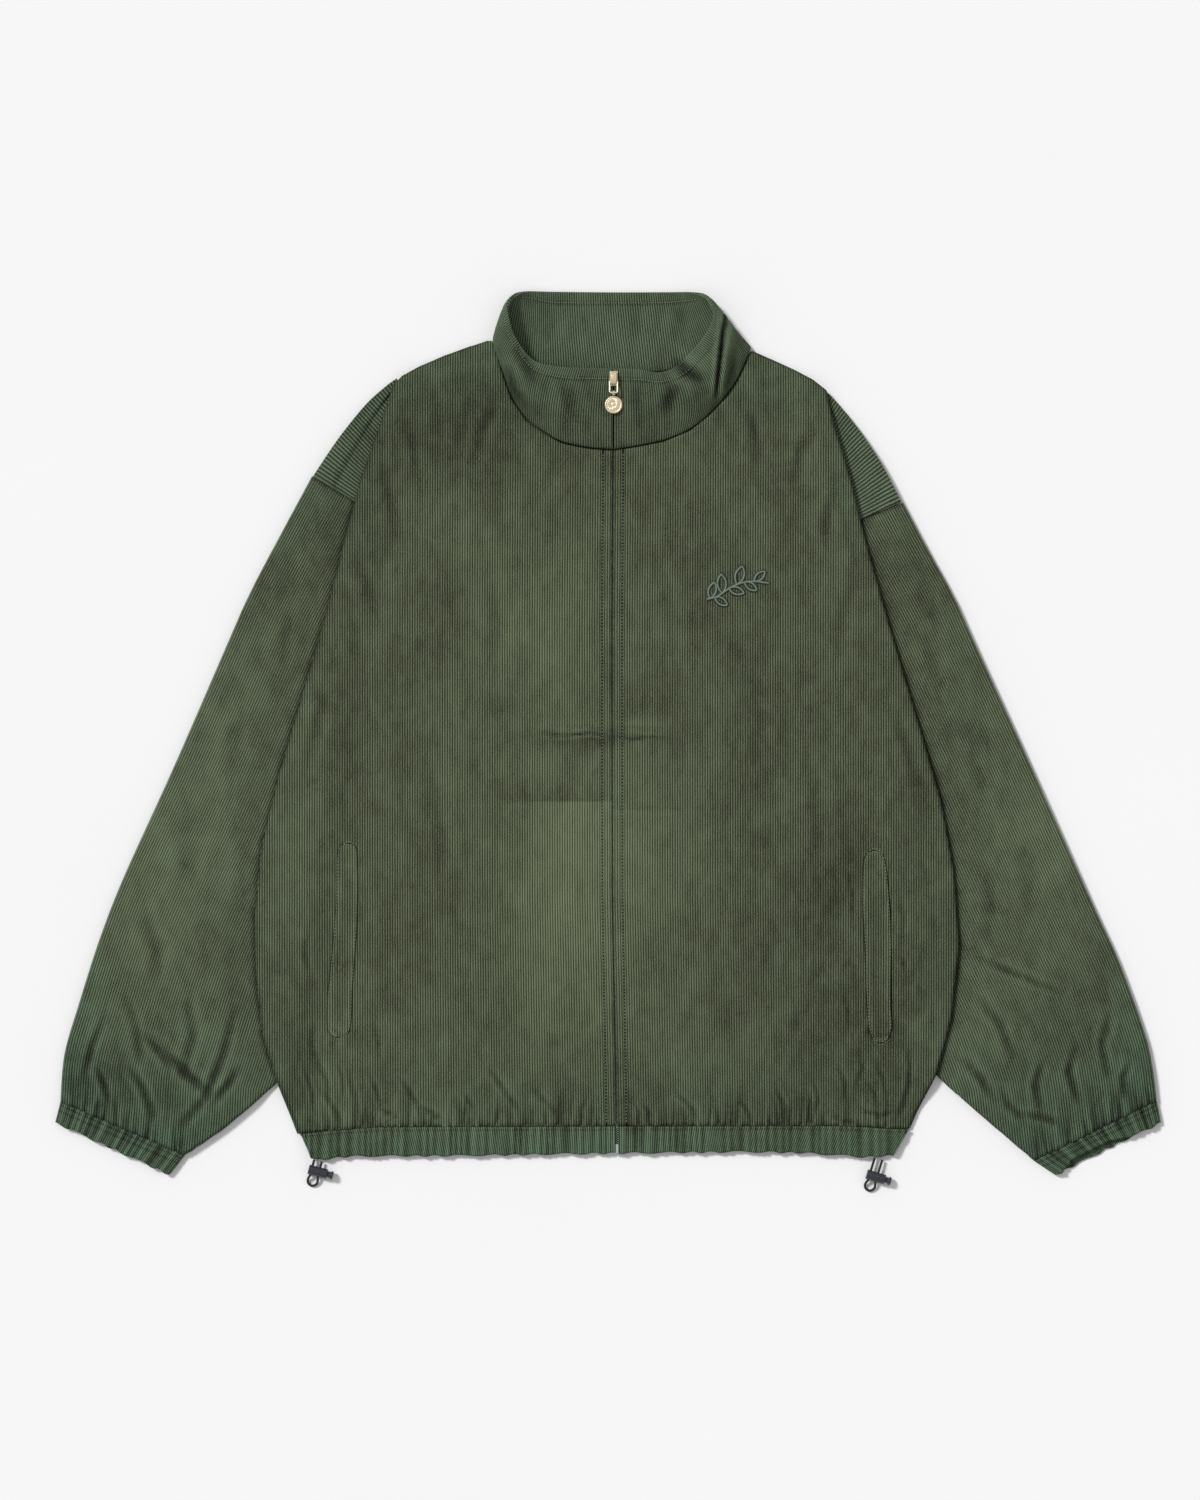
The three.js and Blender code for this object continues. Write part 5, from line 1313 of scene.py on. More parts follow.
@dataclass
class Collar:
    """The stand collar: double cloth from the neck seam up to a rolled lip, open at the zip."""

    half: float = 1.5
    sections: int = 420
    creases: tuple[Crease, ...] = (
        Crease(((104, 384), (104, 366), (100.5, 334), (96, 298)), 4.6, 2.2, 0.5),
        Crease(((108, 366), (109, 350), (104, 330)), -1.6, 3.0, 0.0),
        Crease(((57, 336), (70, 324), (86, 313)), 2.6, 6.0),
        Crease(((62, 312), (54, 298), (51, 283)), 1.4, 5.5),
        Crease(((-84, 346), (-74, 328), (-62, 312)), 1.8, 5.5),
        Crease(((-90, 330), (-84, 306), (-72, 290)), 1.6, 5.0),
        Crease(((-40, 318), (-34, 296), (-30, 276)), 0.8, 6.0),
        Crease(((30, 318), (26, 296), (30, 272)), 0.8, 6.0),
        Crease(((112, 338), (110, 322), (104, 308)), 1.2, 3.6),
        Crease(((-60, 386), (-52, 366), (-56, 348)), 0.6, 6.0),
        Crease(((20, 384), (26, 364), (20, 346)), 0.6, 7.0),
        Crease(((62, 384), (66, 368), (60, 352)), 0.7, 6.0),
    )

    def __post_init__(self) -> None:
        """Smooths the sections and measures the way round them at half height."""
        raw = np.array(COLLAR_SECTIONS, float)
        self.smooth_sections = curve_through(raw, self.sections)
        rail = self.smooth_sections[:, 0] * 0.45 + self.smooth_sections[:, 1] * 0.55
        steps = np.sqrt((np.diff(rail, axis=0) ** 2).sum(-1))
        self.around = np.r_[0.0, np.cumsum(steps)]

    def middle(self, around: Array, up: Array) -> Array:
        """Places in the middle of the cloth: a parabola through foot, belly and lip at each place round the neck."""
        parts = [
            np.stack([np.interp(around, self.around, self.smooth_sections[:, k, axis]) for axis in range(3)], -1)
            for k in range(3)
        ]
        v = up[..., None]
        return parts[0] * 2 * (v - 0.5) * (v - 1) - parts[1] * 4 * v * (v - 1) + parts[2] * 2 * v * (v - 0.5)

    def normal(self, around: Array, up: Array) -> Array:
        """The cloth's normal, out of the neck, from small steps round and up."""
        step, rise = 1.5, 0.03
        last = self.around[-1]
        round_step = self.middle(np.clip(around + step, 0, last), up) - self.middle(np.clip(around - step, 0, last), up)
        up_step = self.middle(around, np.clip(up + rise, 0, 1)) - self.middle(around, np.clip(up - rise, 0, 1))
        across = np.cross(round_step, up_step)
        return across / np.linalg.norm(across, axis=-1, keepdims=True)

    def surface(self, around: Array, up: Array, offset: Array, ribs: Array) -> Array:
        """A side of the collar: the middle, moved along the normal by the offset, pressed by the creases.

        Args:
            around: distance round the neck.
            up: 0 at the neck seam to 1 at the lip.
            offset: distance from the middle of the cloth, positive outwards.
            ribs: extra height of the wales, measured outwards of the side.

        Returns:
            Points, the arguments' shape by three.
        """
        place = self.middle(around, up)
        normal = self.normal(around, up)
        outward = np.sign(offset) if np.ndim(offset) else math.copysign(1.0, offset)
        dent = sum(crease.height(place[..., 0], place[..., 1]) for crease in self.creases)
        upwards = np.sign(normal[..., 2])
        swelling = 0.35 * np.sin(around / 13 + 2 * up) * np.sin(np.pi * up)
        facing = np.clip(np.abs(normal[..., 2]) * 1.6, 0.0, 1.0)
        ends = smooth(0.0, 6.0, around) * smooth(0.0, 6.0, self.around[-1] - around)
        press = (dent * facing * upwards + swelling) * ends * smooth(0.0, 0.12, up)
        moved = place + normal * (offset + outward * ribs + press)[..., None]
        moved[..., 2] = np.maximum(moved[..., 2], 0.0)
        return moved

    def build(self, material: bpy.types.Material) -> bpy.types.Object:
        """Makes the collar with wales on both sides and a round lip."""
        across = wale_columns(0.0, float(self.around[-1]))
        straight = np.concatenate([np.linspace(0, 0.03, 4)[:-1], np.linspace(0.03, 0.9, 19)[:-1],
                                   np.linspace(0.9, 0.985, 6)])
        turn = np.linspace(0, np.pi, 9)[1:-1]
        lip_rise = 0.015
        up = np.concatenate([straight, 0.985 + lip_rise * np.sin(turn), straight[::-1]])
        offset = np.concatenate([np.ones(len(straight)), np.cos(turn), -np.ones(len(straight))]) * (self.half - 0.15)
        grid_around, grid_up = np.broadcast_arrays(across[None, :], up[:, None])
        grid_offset = np.broadcast_to(offset[:, None], grid_up.shape)
        stitch = np.exp(-(((grid_up - 0.86) / 0.014) ** 2))
        foot_roll = 0.8 * (1.0 - roundness(grid_up * 70.0, 2.4))
        ribs = WALE_RELIEF * wale(grid_around) - 0.45 * stitch - foot_roll
        place = self.middle(grid_around, grid_up)
        dent = sum(crease.height(place[..., 0], place[..., 1]) for crease in self.creases)
        points = self.surface(grid_around, grid_up, grid_offset, ribs)
        tone_y = place[..., 1]
        # Painted shade in the creases and light on their ridges, and painted shade along the stitch row and at the foot
        # by the neck seam
        tone = 0.2 * np.clip(dent, -2.5, 1.0) - 0.3 * stitch - 0.16 * np.exp(-((grid_up * 70.0 / 2.0) ** 2))
        weave = Weave(grid_around, grid_up * 75.0, place[..., 0], tone_y, tone)
        cloth = ClothMesh("collar_cloth")
        numbers = cloth.add_points(points, weave)
        cloth.add_surface(numbers, True)
        half_rows = len(up) // 2
        for column, forward in ((0, True), (-1, False)):
            outer = numbers[: half_rows + 1, column]
            inner_side = numbers[::-1, column][: half_rows + 1]
            quads = np.stack([outer[:-1], outer[1:], inner_side[1:], inner_side[:-1]], -1)[:-1]
            last = np.array([[outer[-2], outer[-1], inner_side[-2]]])
            for faces in (quads, last):
                cloth.faces.append(faces if forward else faces[:, ::-1])
        foot = np.stack([numbers[0, 1:], numbers[0, :-1], numbers[-1, :-1], numbers[-1, 1:]], -1)
        cloth.faces.append(foot)
        piece = cloth.build("jacket", material)
        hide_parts("collar")
        return piece


@dataclass
class Welts:
    """The pocket welts: narrow strips that stand a little off the fronts."""

    fronts: Fronts
    rise: float = 0.9

    def outline(self, side: Side) -> Array:
        """A welt's outline in plan with rounded corners, closed."""
        rows = WELTS[side]
        loop = [*[(near, y) for y, near, _ in rows], *[(far, y) for y, _, far in reversed(rows)]]
        line = curve_through(np.array([*loop[-2:], *loop, *loop[:3]]), 30 * (len(loop) + 4) + 1)
        return line[60: 60 + 30 * len(loop) + 1]

    def build(self, side: Side, material: bpy.types.Material) -> bpy.types.Object:
        """Makes one welt, its wales in line with the front's and cut by its outline."""
        line = self.outline(side)
        left, right = np.argmin(line[:, 0]), np.argmax(line[:, 0])
        first, second = sorted((left, right))
        branches = [line[first: second + 1], np.vstack([line[second:], line[: first + 1]])]
        lower, upper = sorted(branches, key=lambda branch: branch[:, 1].mean())
        across = wale_columns(line[left, 0], line[right, 0])
        low, high = look_up(lower.tolist(), across), look_up(upper.tolist(), across)
        middle, half = (low + high) / 2, np.maximum((high - low) / 2, 1.0)
        low, high, margin = middle - half, middle + half, np.minimum(3.0, half * 0.2)
        y = rows_between([low, low + margin, high - margin, high], [4, 44, 4])
        x = np.broadcast_to(across, y.shape)
        edge = nearest_on_line(line[::6], x, y)[0]
        base = self.fronts.height(side, x, y, cloth_only=True)
        puckers = 0.25 * np.sin(y / 3.4 + 1.7 * np.sin(y / 14.0)) * np.exp(-((edge / 5) ** 2))
        z = base + (self.rise + puckers) * roundness(edge, 1.8) + WALE_RELIEF * wale(x)
        # Painted highlight in a band just inside the welt's edge, and painted shade in a dark line along the edge where
        # the welt stands off the front
        tone = 0.16 * np.exp(-(((edge - 3.4) / 1.6) ** 2)) - 0.55 * np.exp(-((edge / 0.9) ** 2))
        if side is RIGHT:
            # Painted shade in the pocket's opening along the right welt's far edge
            opening = smooth(-270.0, -240.0, y) * smooth(-120.0, -150.0, y)
            tone = tone - 0.7 * opening * np.exp(-((edge / 1.2) ** 2)) * (x > 242.0)
        tone = tone + self.fronts.tone(side, x, y)
        weave = Weave(x, y, x, y, tone)
        pick = (slice(None, None, 4), slice(None, None, LINING_STEP))
        cloth = ClothMesh(f"welt_{side.value}")
        cloth.add_wall(on_plan(x, y, z), on_plan(x, y, base - 0.6)[pick], weave, 4)
        piece = cloth.build("jacket", material)
        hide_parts(f"pocket_welt_{side.value}")
        return piece


def solid_of(name: str, points: Array, quads: Array, body: str, material: bpy.types.Material,
             sharp: float = 40.0) -> bpy.types.Object:
    """Makes a piece from points in millimetres and faces.

    Args:
        name: name of the piece.
        points: one row each.
        quads: a list of face arrays or one array.
        body: the body it rides on.
        material: its material.
        sharp: edges sharper than this angle stay sharp, in degrees.

    Returns:
        The piece.
    """
    faces = quads if isinstance(quads, list) else [quads]
    mesh = bpy.data.meshes.new(name)
    mesh.from_pydata((points * METRE).tolist(), [], [face.tolist() for part in faces for face in part])
    mesh.polygons.foreach_set("use_smooth", np.ones(len(mesh.polygons), bool))
    mesh.set_sharp_from_angle(angle=math.radians(sharp))
    mesh.materials.append(material)
    return placed(name, mesh, body)


def ring_faces(rings: int, sides: int, closed: bool = False) -> Array:
    """Quads between rings of points that lie one after the other.

    Args:
        rings: number of rings.
        sides: points in a ring.
        closed: whether the last ring joins the first.

    Returns:
        The quads.
    """
    spans = rings if closed else rings - 1
    i, k = np.meshgrid(np.arange(spans), np.arange(sides), indexing="ij")
    after, beside = (i + 1) % rings, (k + 1) % sides
    quads = [i * sides + k, i * sides + beside, after * sides + beside, after * sides + k]
    return np.stack([q.ravel() for q in quads], -1)


@dataclass
class Stitching:
    """Rows of small stitches, each a spindle of thread that dips into the cloth at both ends.

    Attributes:
        length: length of a stitch.
        pitch: distance from one stitch to the next.
        radius: half the thread's width.
    """

    length: float = 2.0
    pitch: float = 3.0
    radius: float = 0.36
    rings: int = 5
    sides: int = 6

    def run(self, path: Array) -> tuple[Array, Array]:
        """Stitches along a path.

        Args:
            path: the path's points, one row each.

        Returns:
            Points and quads of all its stitches: spindles r sin(pi t) round, whose middle rises by 0.12.
        """
        lengths = np.sqrt((np.diff(path, axis=0) ** 2).sum(-1))
        reach = np.r_[0.0, np.cumsum(lengths)]
        centres = np.arange(self.pitch / 2, reach[-1], self.pitch)
        t = np.linspace(0.04, 0.96, self.rings)
        places = centres[:, None] + (t[None, :] - 0.5) * self.length
        line = np.stack([np.interp(places, reach, path[:, axis]) for axis in range(3)], -1)
        line[..., 2] += 0.12 * np.sin(np.pi * t)
        along = line[:, -1] - line[:, 0]
        along /= np.linalg.norm(along, axis=-1, keepdims=True)
        beside = np.stack([-along[:, 1], along[:, 0], np.zeros(len(along))], -1)
        beside /= np.linalg.norm(beside, axis=-1, keepdims=True)
        angle = np.linspace(0, 2 * np.pi, self.sides, endpoint=False)
        wide = self.radius * np.sin(np.pi * t) ** 0.5
        offset = (
            wide[None, :, None, None] * (np.cos(angle)[None, None, :, None] * beside[:, None, None, :]
                                         + np.sin(angle)[None, None, :, None] * np.array([0, 0, 0.8]))
        )
        points = (line[:, :, None, :] + offset).reshape(-1, 3)
        quads = ring_faces(self.rings, self.sides)
        caps = np.array([np.arange(self.sides)[::-1], np.arange(self.sides) + (self.rings - 1) * self.sides])
        each = self.rings * self.sides
        shift = (np.arange(len(centres)) * each)[:, None, None]
        return points, [(quads[None] + shift).reshape(-1, 4), (caps[None] + shift).reshape(-1, self.sides)]

    def build(self, name: str, paths: list[Array], body: str, slot: str, material: bpy.types.Material
              ) -> bpy.types.Object:
        """Makes one piece of all the stitches along several paths."""
        points, quads, caps = [], [], []
        count = 0
        for path in paths:
            part, (part_quads, part_caps) = self.run(path)
            points.append(part)
            quads.append(part_quads + count)
            caps.append(part_caps + count)
            count += len(part)
        return solid_of(name, np.concatenate(points), [np.concatenate(quads), np.concatenate(caps)], body,
                        material, 80.0)


def bowed(points: list[Point], count: int) -> Array:
    """A smooth line in plan through a few corners."""
    return curve_through(np.array(points, float), count)


@dataclass
class Sewing:
    """All the visible topstitching: beside the zip, round the welts, below the collar's lip and on the bands."""

    fronts: Fronts
    collar: Collar
    welts: Welts
    lift: float = 0.42

    def on_front(self, side: Side, line: Array) -> Array:
        """Lays a line in plan on a front."""
        z = self.fronts.height(side, line[:, 0], line[:, 1], cloth_only=True) + self.lift
        return np.column_stack([line, z])

    def zip_rows(self) -> list[Array]:
        """A row on each side of the zip, from the hem seam to the neck."""
        y = np.linspace(-351.0, 251.0, 400)
        rows = []
        for side in Side:
            x = zip_line(y) + side.sign * self.fronts.stitch_row
            rows.append(self.on_front(side, np.column_stack([x, y])))
        return rows

    def welt_rows(self) -> list[Array]:
        """The outline of each welt, a stitch's width inside its edge, with a bar tack over either end."""
        rows = []
        for side in Side:
            line = self.welts.outline(side)
            centre = line.mean(0)
            shrunk = centre + (line - centre) * np.array([0.87, 0.984])
            row = self.on_front(side, shrunk)
            row[:, 2] += self.welts.rise * 0.85
            rows.append(row)
            top, foot = line[line[:, 1].argmax()], line[line[:, 1].argmin()]
            for place, turn in ((top, 1.0), (foot, -1.0)):
                arc = [(place[0] - 7, place[1] - 3.4 * turn), (place[0], place[1] + 1.2 * turn),
                       (place[0] + 7, place[1] - 3.0 * turn)]
                rows.append(self.on_front(side, bowed(arc, 18)))
        return rows

    def collar_rows(self) -> list[Array]:
        """A row below the lip, on the collar's inner side at the back and its outer side in front."""
        around = np.linspace(3.0, self.collar.around[-1] - 3.0, 400)
        rows = []
        for sign in (-1.0, 1.0):
            up = np.full(around.shape, 0.86)
            offset = np.full(around.shape, sign * (self.collar.half - 0.15))
            rows.append(self.collar.surface(around, up, offset, np.full(around.shape, 0.12)))
        return rows


@dataclass
class Sprig:
    """Tonal embroidery on the chest: a stem and outlined leaves, all in cords of satin stitch.

    Attributes:
        fronts: what it is sewn on.
        stem: the stem's line in plan.
        leaves: each leaf's foot along the stem from 0 to 1, its length and its turn from the stem in degrees.
        half_width: half the width of a cord.
        rise: height of a cord.
    """

    fronts: Fronts
    stem: tuple[Point, ...] = ((89, 119.5), (99, 122.5), (112, 131), (127, 135.5), (144.5, 134))
    leaves: tuple[tuple[float, float, float], ...] = (
        (0.10, 15, 62), (0.20, 13, -52), (0.34, 17, 58), (0.45, 14, -50), (0.58, 17, 52), (0.69, 13, -46),
        (0.82, 13, 46),
    )
    half_width: float = 0.85
    rise: float = 1.25

    def leaf(self, foot: Array, direction: float, length: float) -> Array:
        """A leaf's closed outline: half-width 0.23 length sin(pi t)^0.8, out on one side and back on the other."""
        t = np.linspace(0.0, 1.0, 24)
        half = 0.23 * length * np.sin(np.pi * t) ** 0.8
        forward = np.r_[t, t[::-1]] * length
        aside = np.r_[half, -half[::-1]]
        x = foot[0] + forward * math.cos(direction) - aside * math.sin(direction)
        y = foot[1] + forward * math.sin(direction) + aside * math.cos(direction)
        return np.column_stack([x, y])

    def cord(self, line: Array) -> tuple[Array, Array]:
        """A half-round cord along a line in plan, with the ridges of its slanting threads.

        Args:
            line: the line's points in plan.

        Returns:
            Points and quads.
        """
        reach = np.r_[0.0, np.cumsum(np.hypot(*np.diff(line, axis=0).T) + 1e-6)]
        steps = np.linspace(0.0, reach[-1], int(reach[-1] / 0.34) + 2)
        line = np.stack([np.interp(steps, reach, line[:, axis]) for axis in (0, 1)], -1)
        ahead = np.gradient(line, axis=0)
        ahead /= np.hypot(*ahead.T)[:, None] + 1e-9
        angle = np.linspace(0, np.pi, 7)
        thread = 1.0 + 0.14 * np.cos(2 * np.pi * (steps[:, None] + 0.35 * np.cos(angle)) / 0.7)
        aside = self.half_width * np.cos(angle) * thread
        x = line[:, 0, None] - ahead[:, 1, None] * aside
        y = line[:, 1, None] + ahead[:, 0, None] * aside
        z = self.fronts.height(RIGHT, x, y, cloth_only=True) + 0.15 + self.rise * np.sin(angle) * thread
        numbers = np.arange(x.size).reshape(x.shape)
        quads = np.stack([numbers[:-1, :-1], numbers[:-1, 1:], numbers[1:, 1:], numbers[1:, :-1]], -1)
        return on_plan(x, y, z).reshape(-1, 3), quads.reshape(-1, 4)

    def build(self, name: str, material: bpy.types.Material) -> bpy.types.Object:
        """Makes the stem and its leaves as one piece of embroidery."""
        stem = bowed(list(self.stem), 80)
        heading = np.gradient(stem, axis=0)
        lines = [stem]
        for along, length, turn in self.leaves:
            index = int(along * (len(stem) - 1))
            direction = math.atan2(heading[index, 1], heading[index, 0]) + math.radians(turn)
            lines.append(self.leaf(stem[index], direction, length))
        points, quads, count = [], [], 0
        for line in lines:
            part, part_quads = self.cord(line)
            points.append(part)
            quads.append(part_quads + count)
            count += len(part)
        return solid_of(name, np.concatenate(points), np.concatenate(quads)[:, ::-1], "jacket",
                        material, 80.0)


@dataclass
class ZipParts:
    """Tapes, teeth, box, slider and pull of the zip.

    Attributes:
        tooth_pitch: distance between two teeth on one tape.
        foot: Y of the last tooth, at the box.
        head: Y of the first tooth, below the collar.
    """

    tooth_pitch: float = 2.0
    foot: float = -370.0
    head: float = 248.0
    tape_width: float = 12.0
    tape_top: float = 3.3

    def tape(self, side: Side, material: bpy.types.Material) -> bpy.types.Object:
        """A woven tape: a thin strip with a raised cord at its inner edge."""
        y = np.linspace(self.foot, 250.0, 220)[:, None]
        share = np.linspace(0.0, 1.0, 13)[None, :]
        inner = zip_line(y) + side.sign * SLIT
        x = inner + side.sign * self.tape_width * share
        x = np.where(y < -352, inner + side.sign * share * 1.0, x)
        top = self.tape_top - 0.05 + 0.12 * np.cos(share * 40)
        under = np.full(top.shape, 2.35)
        numbers = np.arange(x.size).reshape(x.shape)
        points = np.concatenate([on_plan(x, y, top).reshape(-1, 3), on_plan(x, y, under).reshape(-1, 3)])
        lower = numbers + x.size
        up = np.stack([numbers[:-1, :-1], numbers[:-1, 1:], numbers[1:, 1:], numbers[1:, :-1]], -1).reshape(-1, 4)
        down = np.stack([lower[:-1, :-1], lower[1:, :-1], lower[1:, 1:], lower[:-1, 1:]], -1).reshape(-1, 4)
        rims = []
        for top_line, low_line in ((numbers[0, ::-1], lower[0, ::-1]), (numbers[-1], lower[-1]),
                                   (numbers[:, 0], lower[:, 0]), (numbers[::-1, -1], lower[::-1, -1])):
            rims.append(np.stack([top_line[:-1], top_line[1:], low_line[1:], low_line[:-1]], -1))
        faces = np.concatenate([up, down, *rims])
        if side is LEFT:
            faces = faces[:, ::-1]
        piece = solid_of(f"tape_{side.value}", points, faces, "jacket", material)
        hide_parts(f"zip_tape_{side.value}")
        return piece

    def teeth(self, material: bpy.types.Material) -> bpy.types.Object:
        """Two rows of teeth that mesh: small rounded blocks, staggered by half a pitch."""
        block = np.array([
            (-1, -1, 0), (1, -1, 0), (1, 1, 0), (-1, 1, 0), (-1, -0.9, 0.8), (1, -0.9, 0.8), (1, 0.9, 0.8),
            (-1, 0.9, 0.8), (-0.7, -0.6, 1), (0.7, -0.6, 1), (0.7, 0.6, 1), (-0.7, 0.6, 1),
        ])
        faces = np.array([
            (3, 2, 1, 0), (0, 1, 5, 4), (1, 2, 6, 5), (2, 3, 7, 6), (3, 0, 4, 7), (4, 5, 9, 8), (5, 6, 10, 9),
            (6, 7, 11, 10), (7, 4, 8, 11), (8, 9, 10, 11),
        ])
        points = []
        for side in Side:
            y = np.arange(self.foot + (0.0 if side is LEFT else self.tooth_pitch / 2), self.head, self.tooth_pitch)
            x = zip_line(y) + side.sign * 0.75
            centres = np.stack([x, y, np.full(y.shape, 3.25)], -1)
            points.append((centres[:, None, :] + block[None] * np.array([1.0, 0.42, 1.15])).reshape(-1, 3))
        points = np.concatenate(points)
        shift = (np.arange(len(points) // len(block)) * len(block))[:, None, None]
        return solid_of("zip_teeth", points, (faces[None] + shift).reshape(-1, 4), "jacket", material)

    def link(self, material: bpy.types.Material) -> bpy.types.Object:
        """The pull's link: a round bar carried along a rounded rectangle, tipped down towards the coin."""
        half, length, bar, corner, tilt = 3.5, 11.3, 0.8, 1.5, math.radians(-11)
        turns = np.linspace(0, np.pi / 2, 6)
        centres = ((half - corner, -corner), (half - corner, corner - length), (corner - half, corner - length),
                   (corner - half, -corner))
        starts = (np.pi / 2, 0.0, -np.pi / 2, -np.pi)
        outline = []
        for (cx, cy), start in zip(centres, starts):
            angle = start - turns
            outline.append(np.stack([cx + corner * np.cos(angle), cy + corner * np.sin(angle)], -1))
        line = np.concatenate(outline)
        ahead = np.roll(line, -1, 0) - np.roll(line, 1, 0)
        ahead /= np.hypot(*ahead.T)[:, None]
        beside = np.stack([ahead[:, 1], -ahead[:, 0]], -1)
        angle = np.linspace(0, 2 * np.pi, 12, endpoint=False)
        flat = line[:, None, :] + beside[:, None, :] * (bar * np.cos(angle))[None, :, None]
        z = np.broadcast_to(bar * np.sin(angle), flat.shape[:2])
        y = flat[..., 1] * math.cos(tilt) + z * math.sin(tilt)
        height = -flat[..., 1] * math.sin(tilt) + z * math.cos(tilt)
        points = np.stack([flat[..., 0] + 5.0, y + 315.2, -height + 2 * z * math.cos(tilt) + 19.7], -1)
        faces = ring_faces(len(line), len(angle), closed=True)
        piece = solid_of("pull_link_bar", points.reshape(-1, 3), faces, "pull_link", material, 60.0)
        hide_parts("zip_pull_link")
        return piece

    def coin(self, material: bpy.types.Material) -> bpy.types.Object:
        """The pull's coin: a disc with a roped rim, fluted rays and a plain boss, on a small round eye."""
        radius, thick, hook = 7.9, 1.8, np.array([5.0, 304.107, 17.544])
        centre = hook + np.array([0.0, -10.5, -1.1])
        r = np.array([0.0, 0.08, 0.16, 0.22, 0.25, 0.3, 0.45, 0.62, 0.72, 0.76, 0.8, 0.84, 0.9, 0.95, 0.985, 1.0])
        angle = np.linspace(0, 2 * np.pi, 96, endpoint=False)
        rr, aa = np.meshgrid(r, angle, indexing="ij")
        boss = 0.45 * np.sqrt(np.clip(1.0 - (rr / 0.24) ** 2, 0.0, 1.0))
        flutes = 0.4 * np.abs(np.sin(aa * 8)) ** 0.7 * smooth(0.24, 0.34, rr) * smooth(0.77, 0.68, rr)
        rope = (0.42 + 0.2 * np.sin(aa * 22 + rr * 26)) * np.exp(-(((rr - 0.88) / 0.08) ** 2))
        top = thick / 2 - 0.3 + boss + flutes + rope - 0.3 * smooth(0.95, 1.0, rr)
        x, y = radius * rr * np.cos(aa), radius * rr * np.sin(aa)
        upper = on_plan(x + centre[0], y + centre[1], top + centre[2])
        lower = on_plan(x + centre[0], y + centre[1], centre[2] - top)
        points = np.concatenate([upper.reshape(-1, 3), lower.reshape(-1, 3)])
        face = ring_faces(len(r), len(angle))
        rim_upper = (len(r) - 1) * len(angle) + np.arange(len(angle))
        rim_lower = rim_upper + upper.shape[0] * upper.shape[1]
        rim = np.stack([rim_upper, np.roll(rim_upper, -1), np.roll(rim_lower, -1), rim_lower], -1)
        eye_points, eye_faces = self.eye(hook)
        faces = [face[:, ::-1], face + rim_lower[0] - rim_upper[0], rim[:, ::-1], eye_faces + len(points)]
        piece = solid_of("pull_coin", np.concatenate([points, eye_points]), faces, "pull_medallion",
                         material, 55.0)
        weld(piece)
        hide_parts("zip_pull_medallion")
        return piece

    def eye(self, hook: Array) -> tuple[Array, Array]:
        """The coin's eye: a ring about the X axis round the link's bar, with a neck down to the coin."""
        radius, bar = 1.72, 0.5
        around = np.linspace(0, 2 * np.pi, 28, endpoint=False)
        section = np.linspace(0, 2 * np.pi, 10, endpoint=False)
        a, s = np.meshgrid(around, section, indexing="ij")
        out = radius + bar * np.cos(s)
        points = np.stack([hook[0] + 1.15 * np.sin(s), hook[1] + out * np.cos(a), hook[2] + out * np.sin(a)], -1)
        return points.reshape(-1, 3), ring_faces(len(around), len(section), closed=True)[:, ::-1]


def weld(piece: bpy.types.Object) -> None:
    """Merges a mesh's doubled points and turns its faces out."""
    mesh = bmesh.new()
    mesh.from_mesh(piece.data)
    bmesh.ops.remove_doubles(mesh, verts=mesh.verts, dist=1e-6)
    bmesh.ops.recalc_face_normals(mesh, faces=mesh.faces)
    mesh.to_mesh(piece.data)
    mesh.free()


def refined_copy(node: str, name: str, body: str, material: bpy.types.Material, bevel: float
                 ) -> bpy.types.Object:
    """A bevelled, smooth copy of a frame node's mesh that stands for it.

    Args:
        node: the frame's node.
        name: name of the copy.
        body: the body it rides on.
        material: its material.
        bevel: width of the bevel, in millimetres.

    Returns:
        The piece.
    """
    mesh = bpy.data.objects[node].data.copy()
    mesh.name = name
    mesh.materials.clear()
    mesh.materials.append(material)
    piece = placed(name, mesh, body)
    weld(piece)
    rounding = piece.modifiers.new("rounded edges", "BEVEL")
    rounding.width = bevel * METRE
    rounding.segments = 3
    rounding.limit_method = "ANGLE"
    rounding.angle_limit = math.radians(32)
    mesh.polygons.foreach_set("use_smooth", np.ones(len(mesh.polygons), bool))
    mesh.set_sharp_from_angle(angle=math.radians(42))
    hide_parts(node)
    return piece


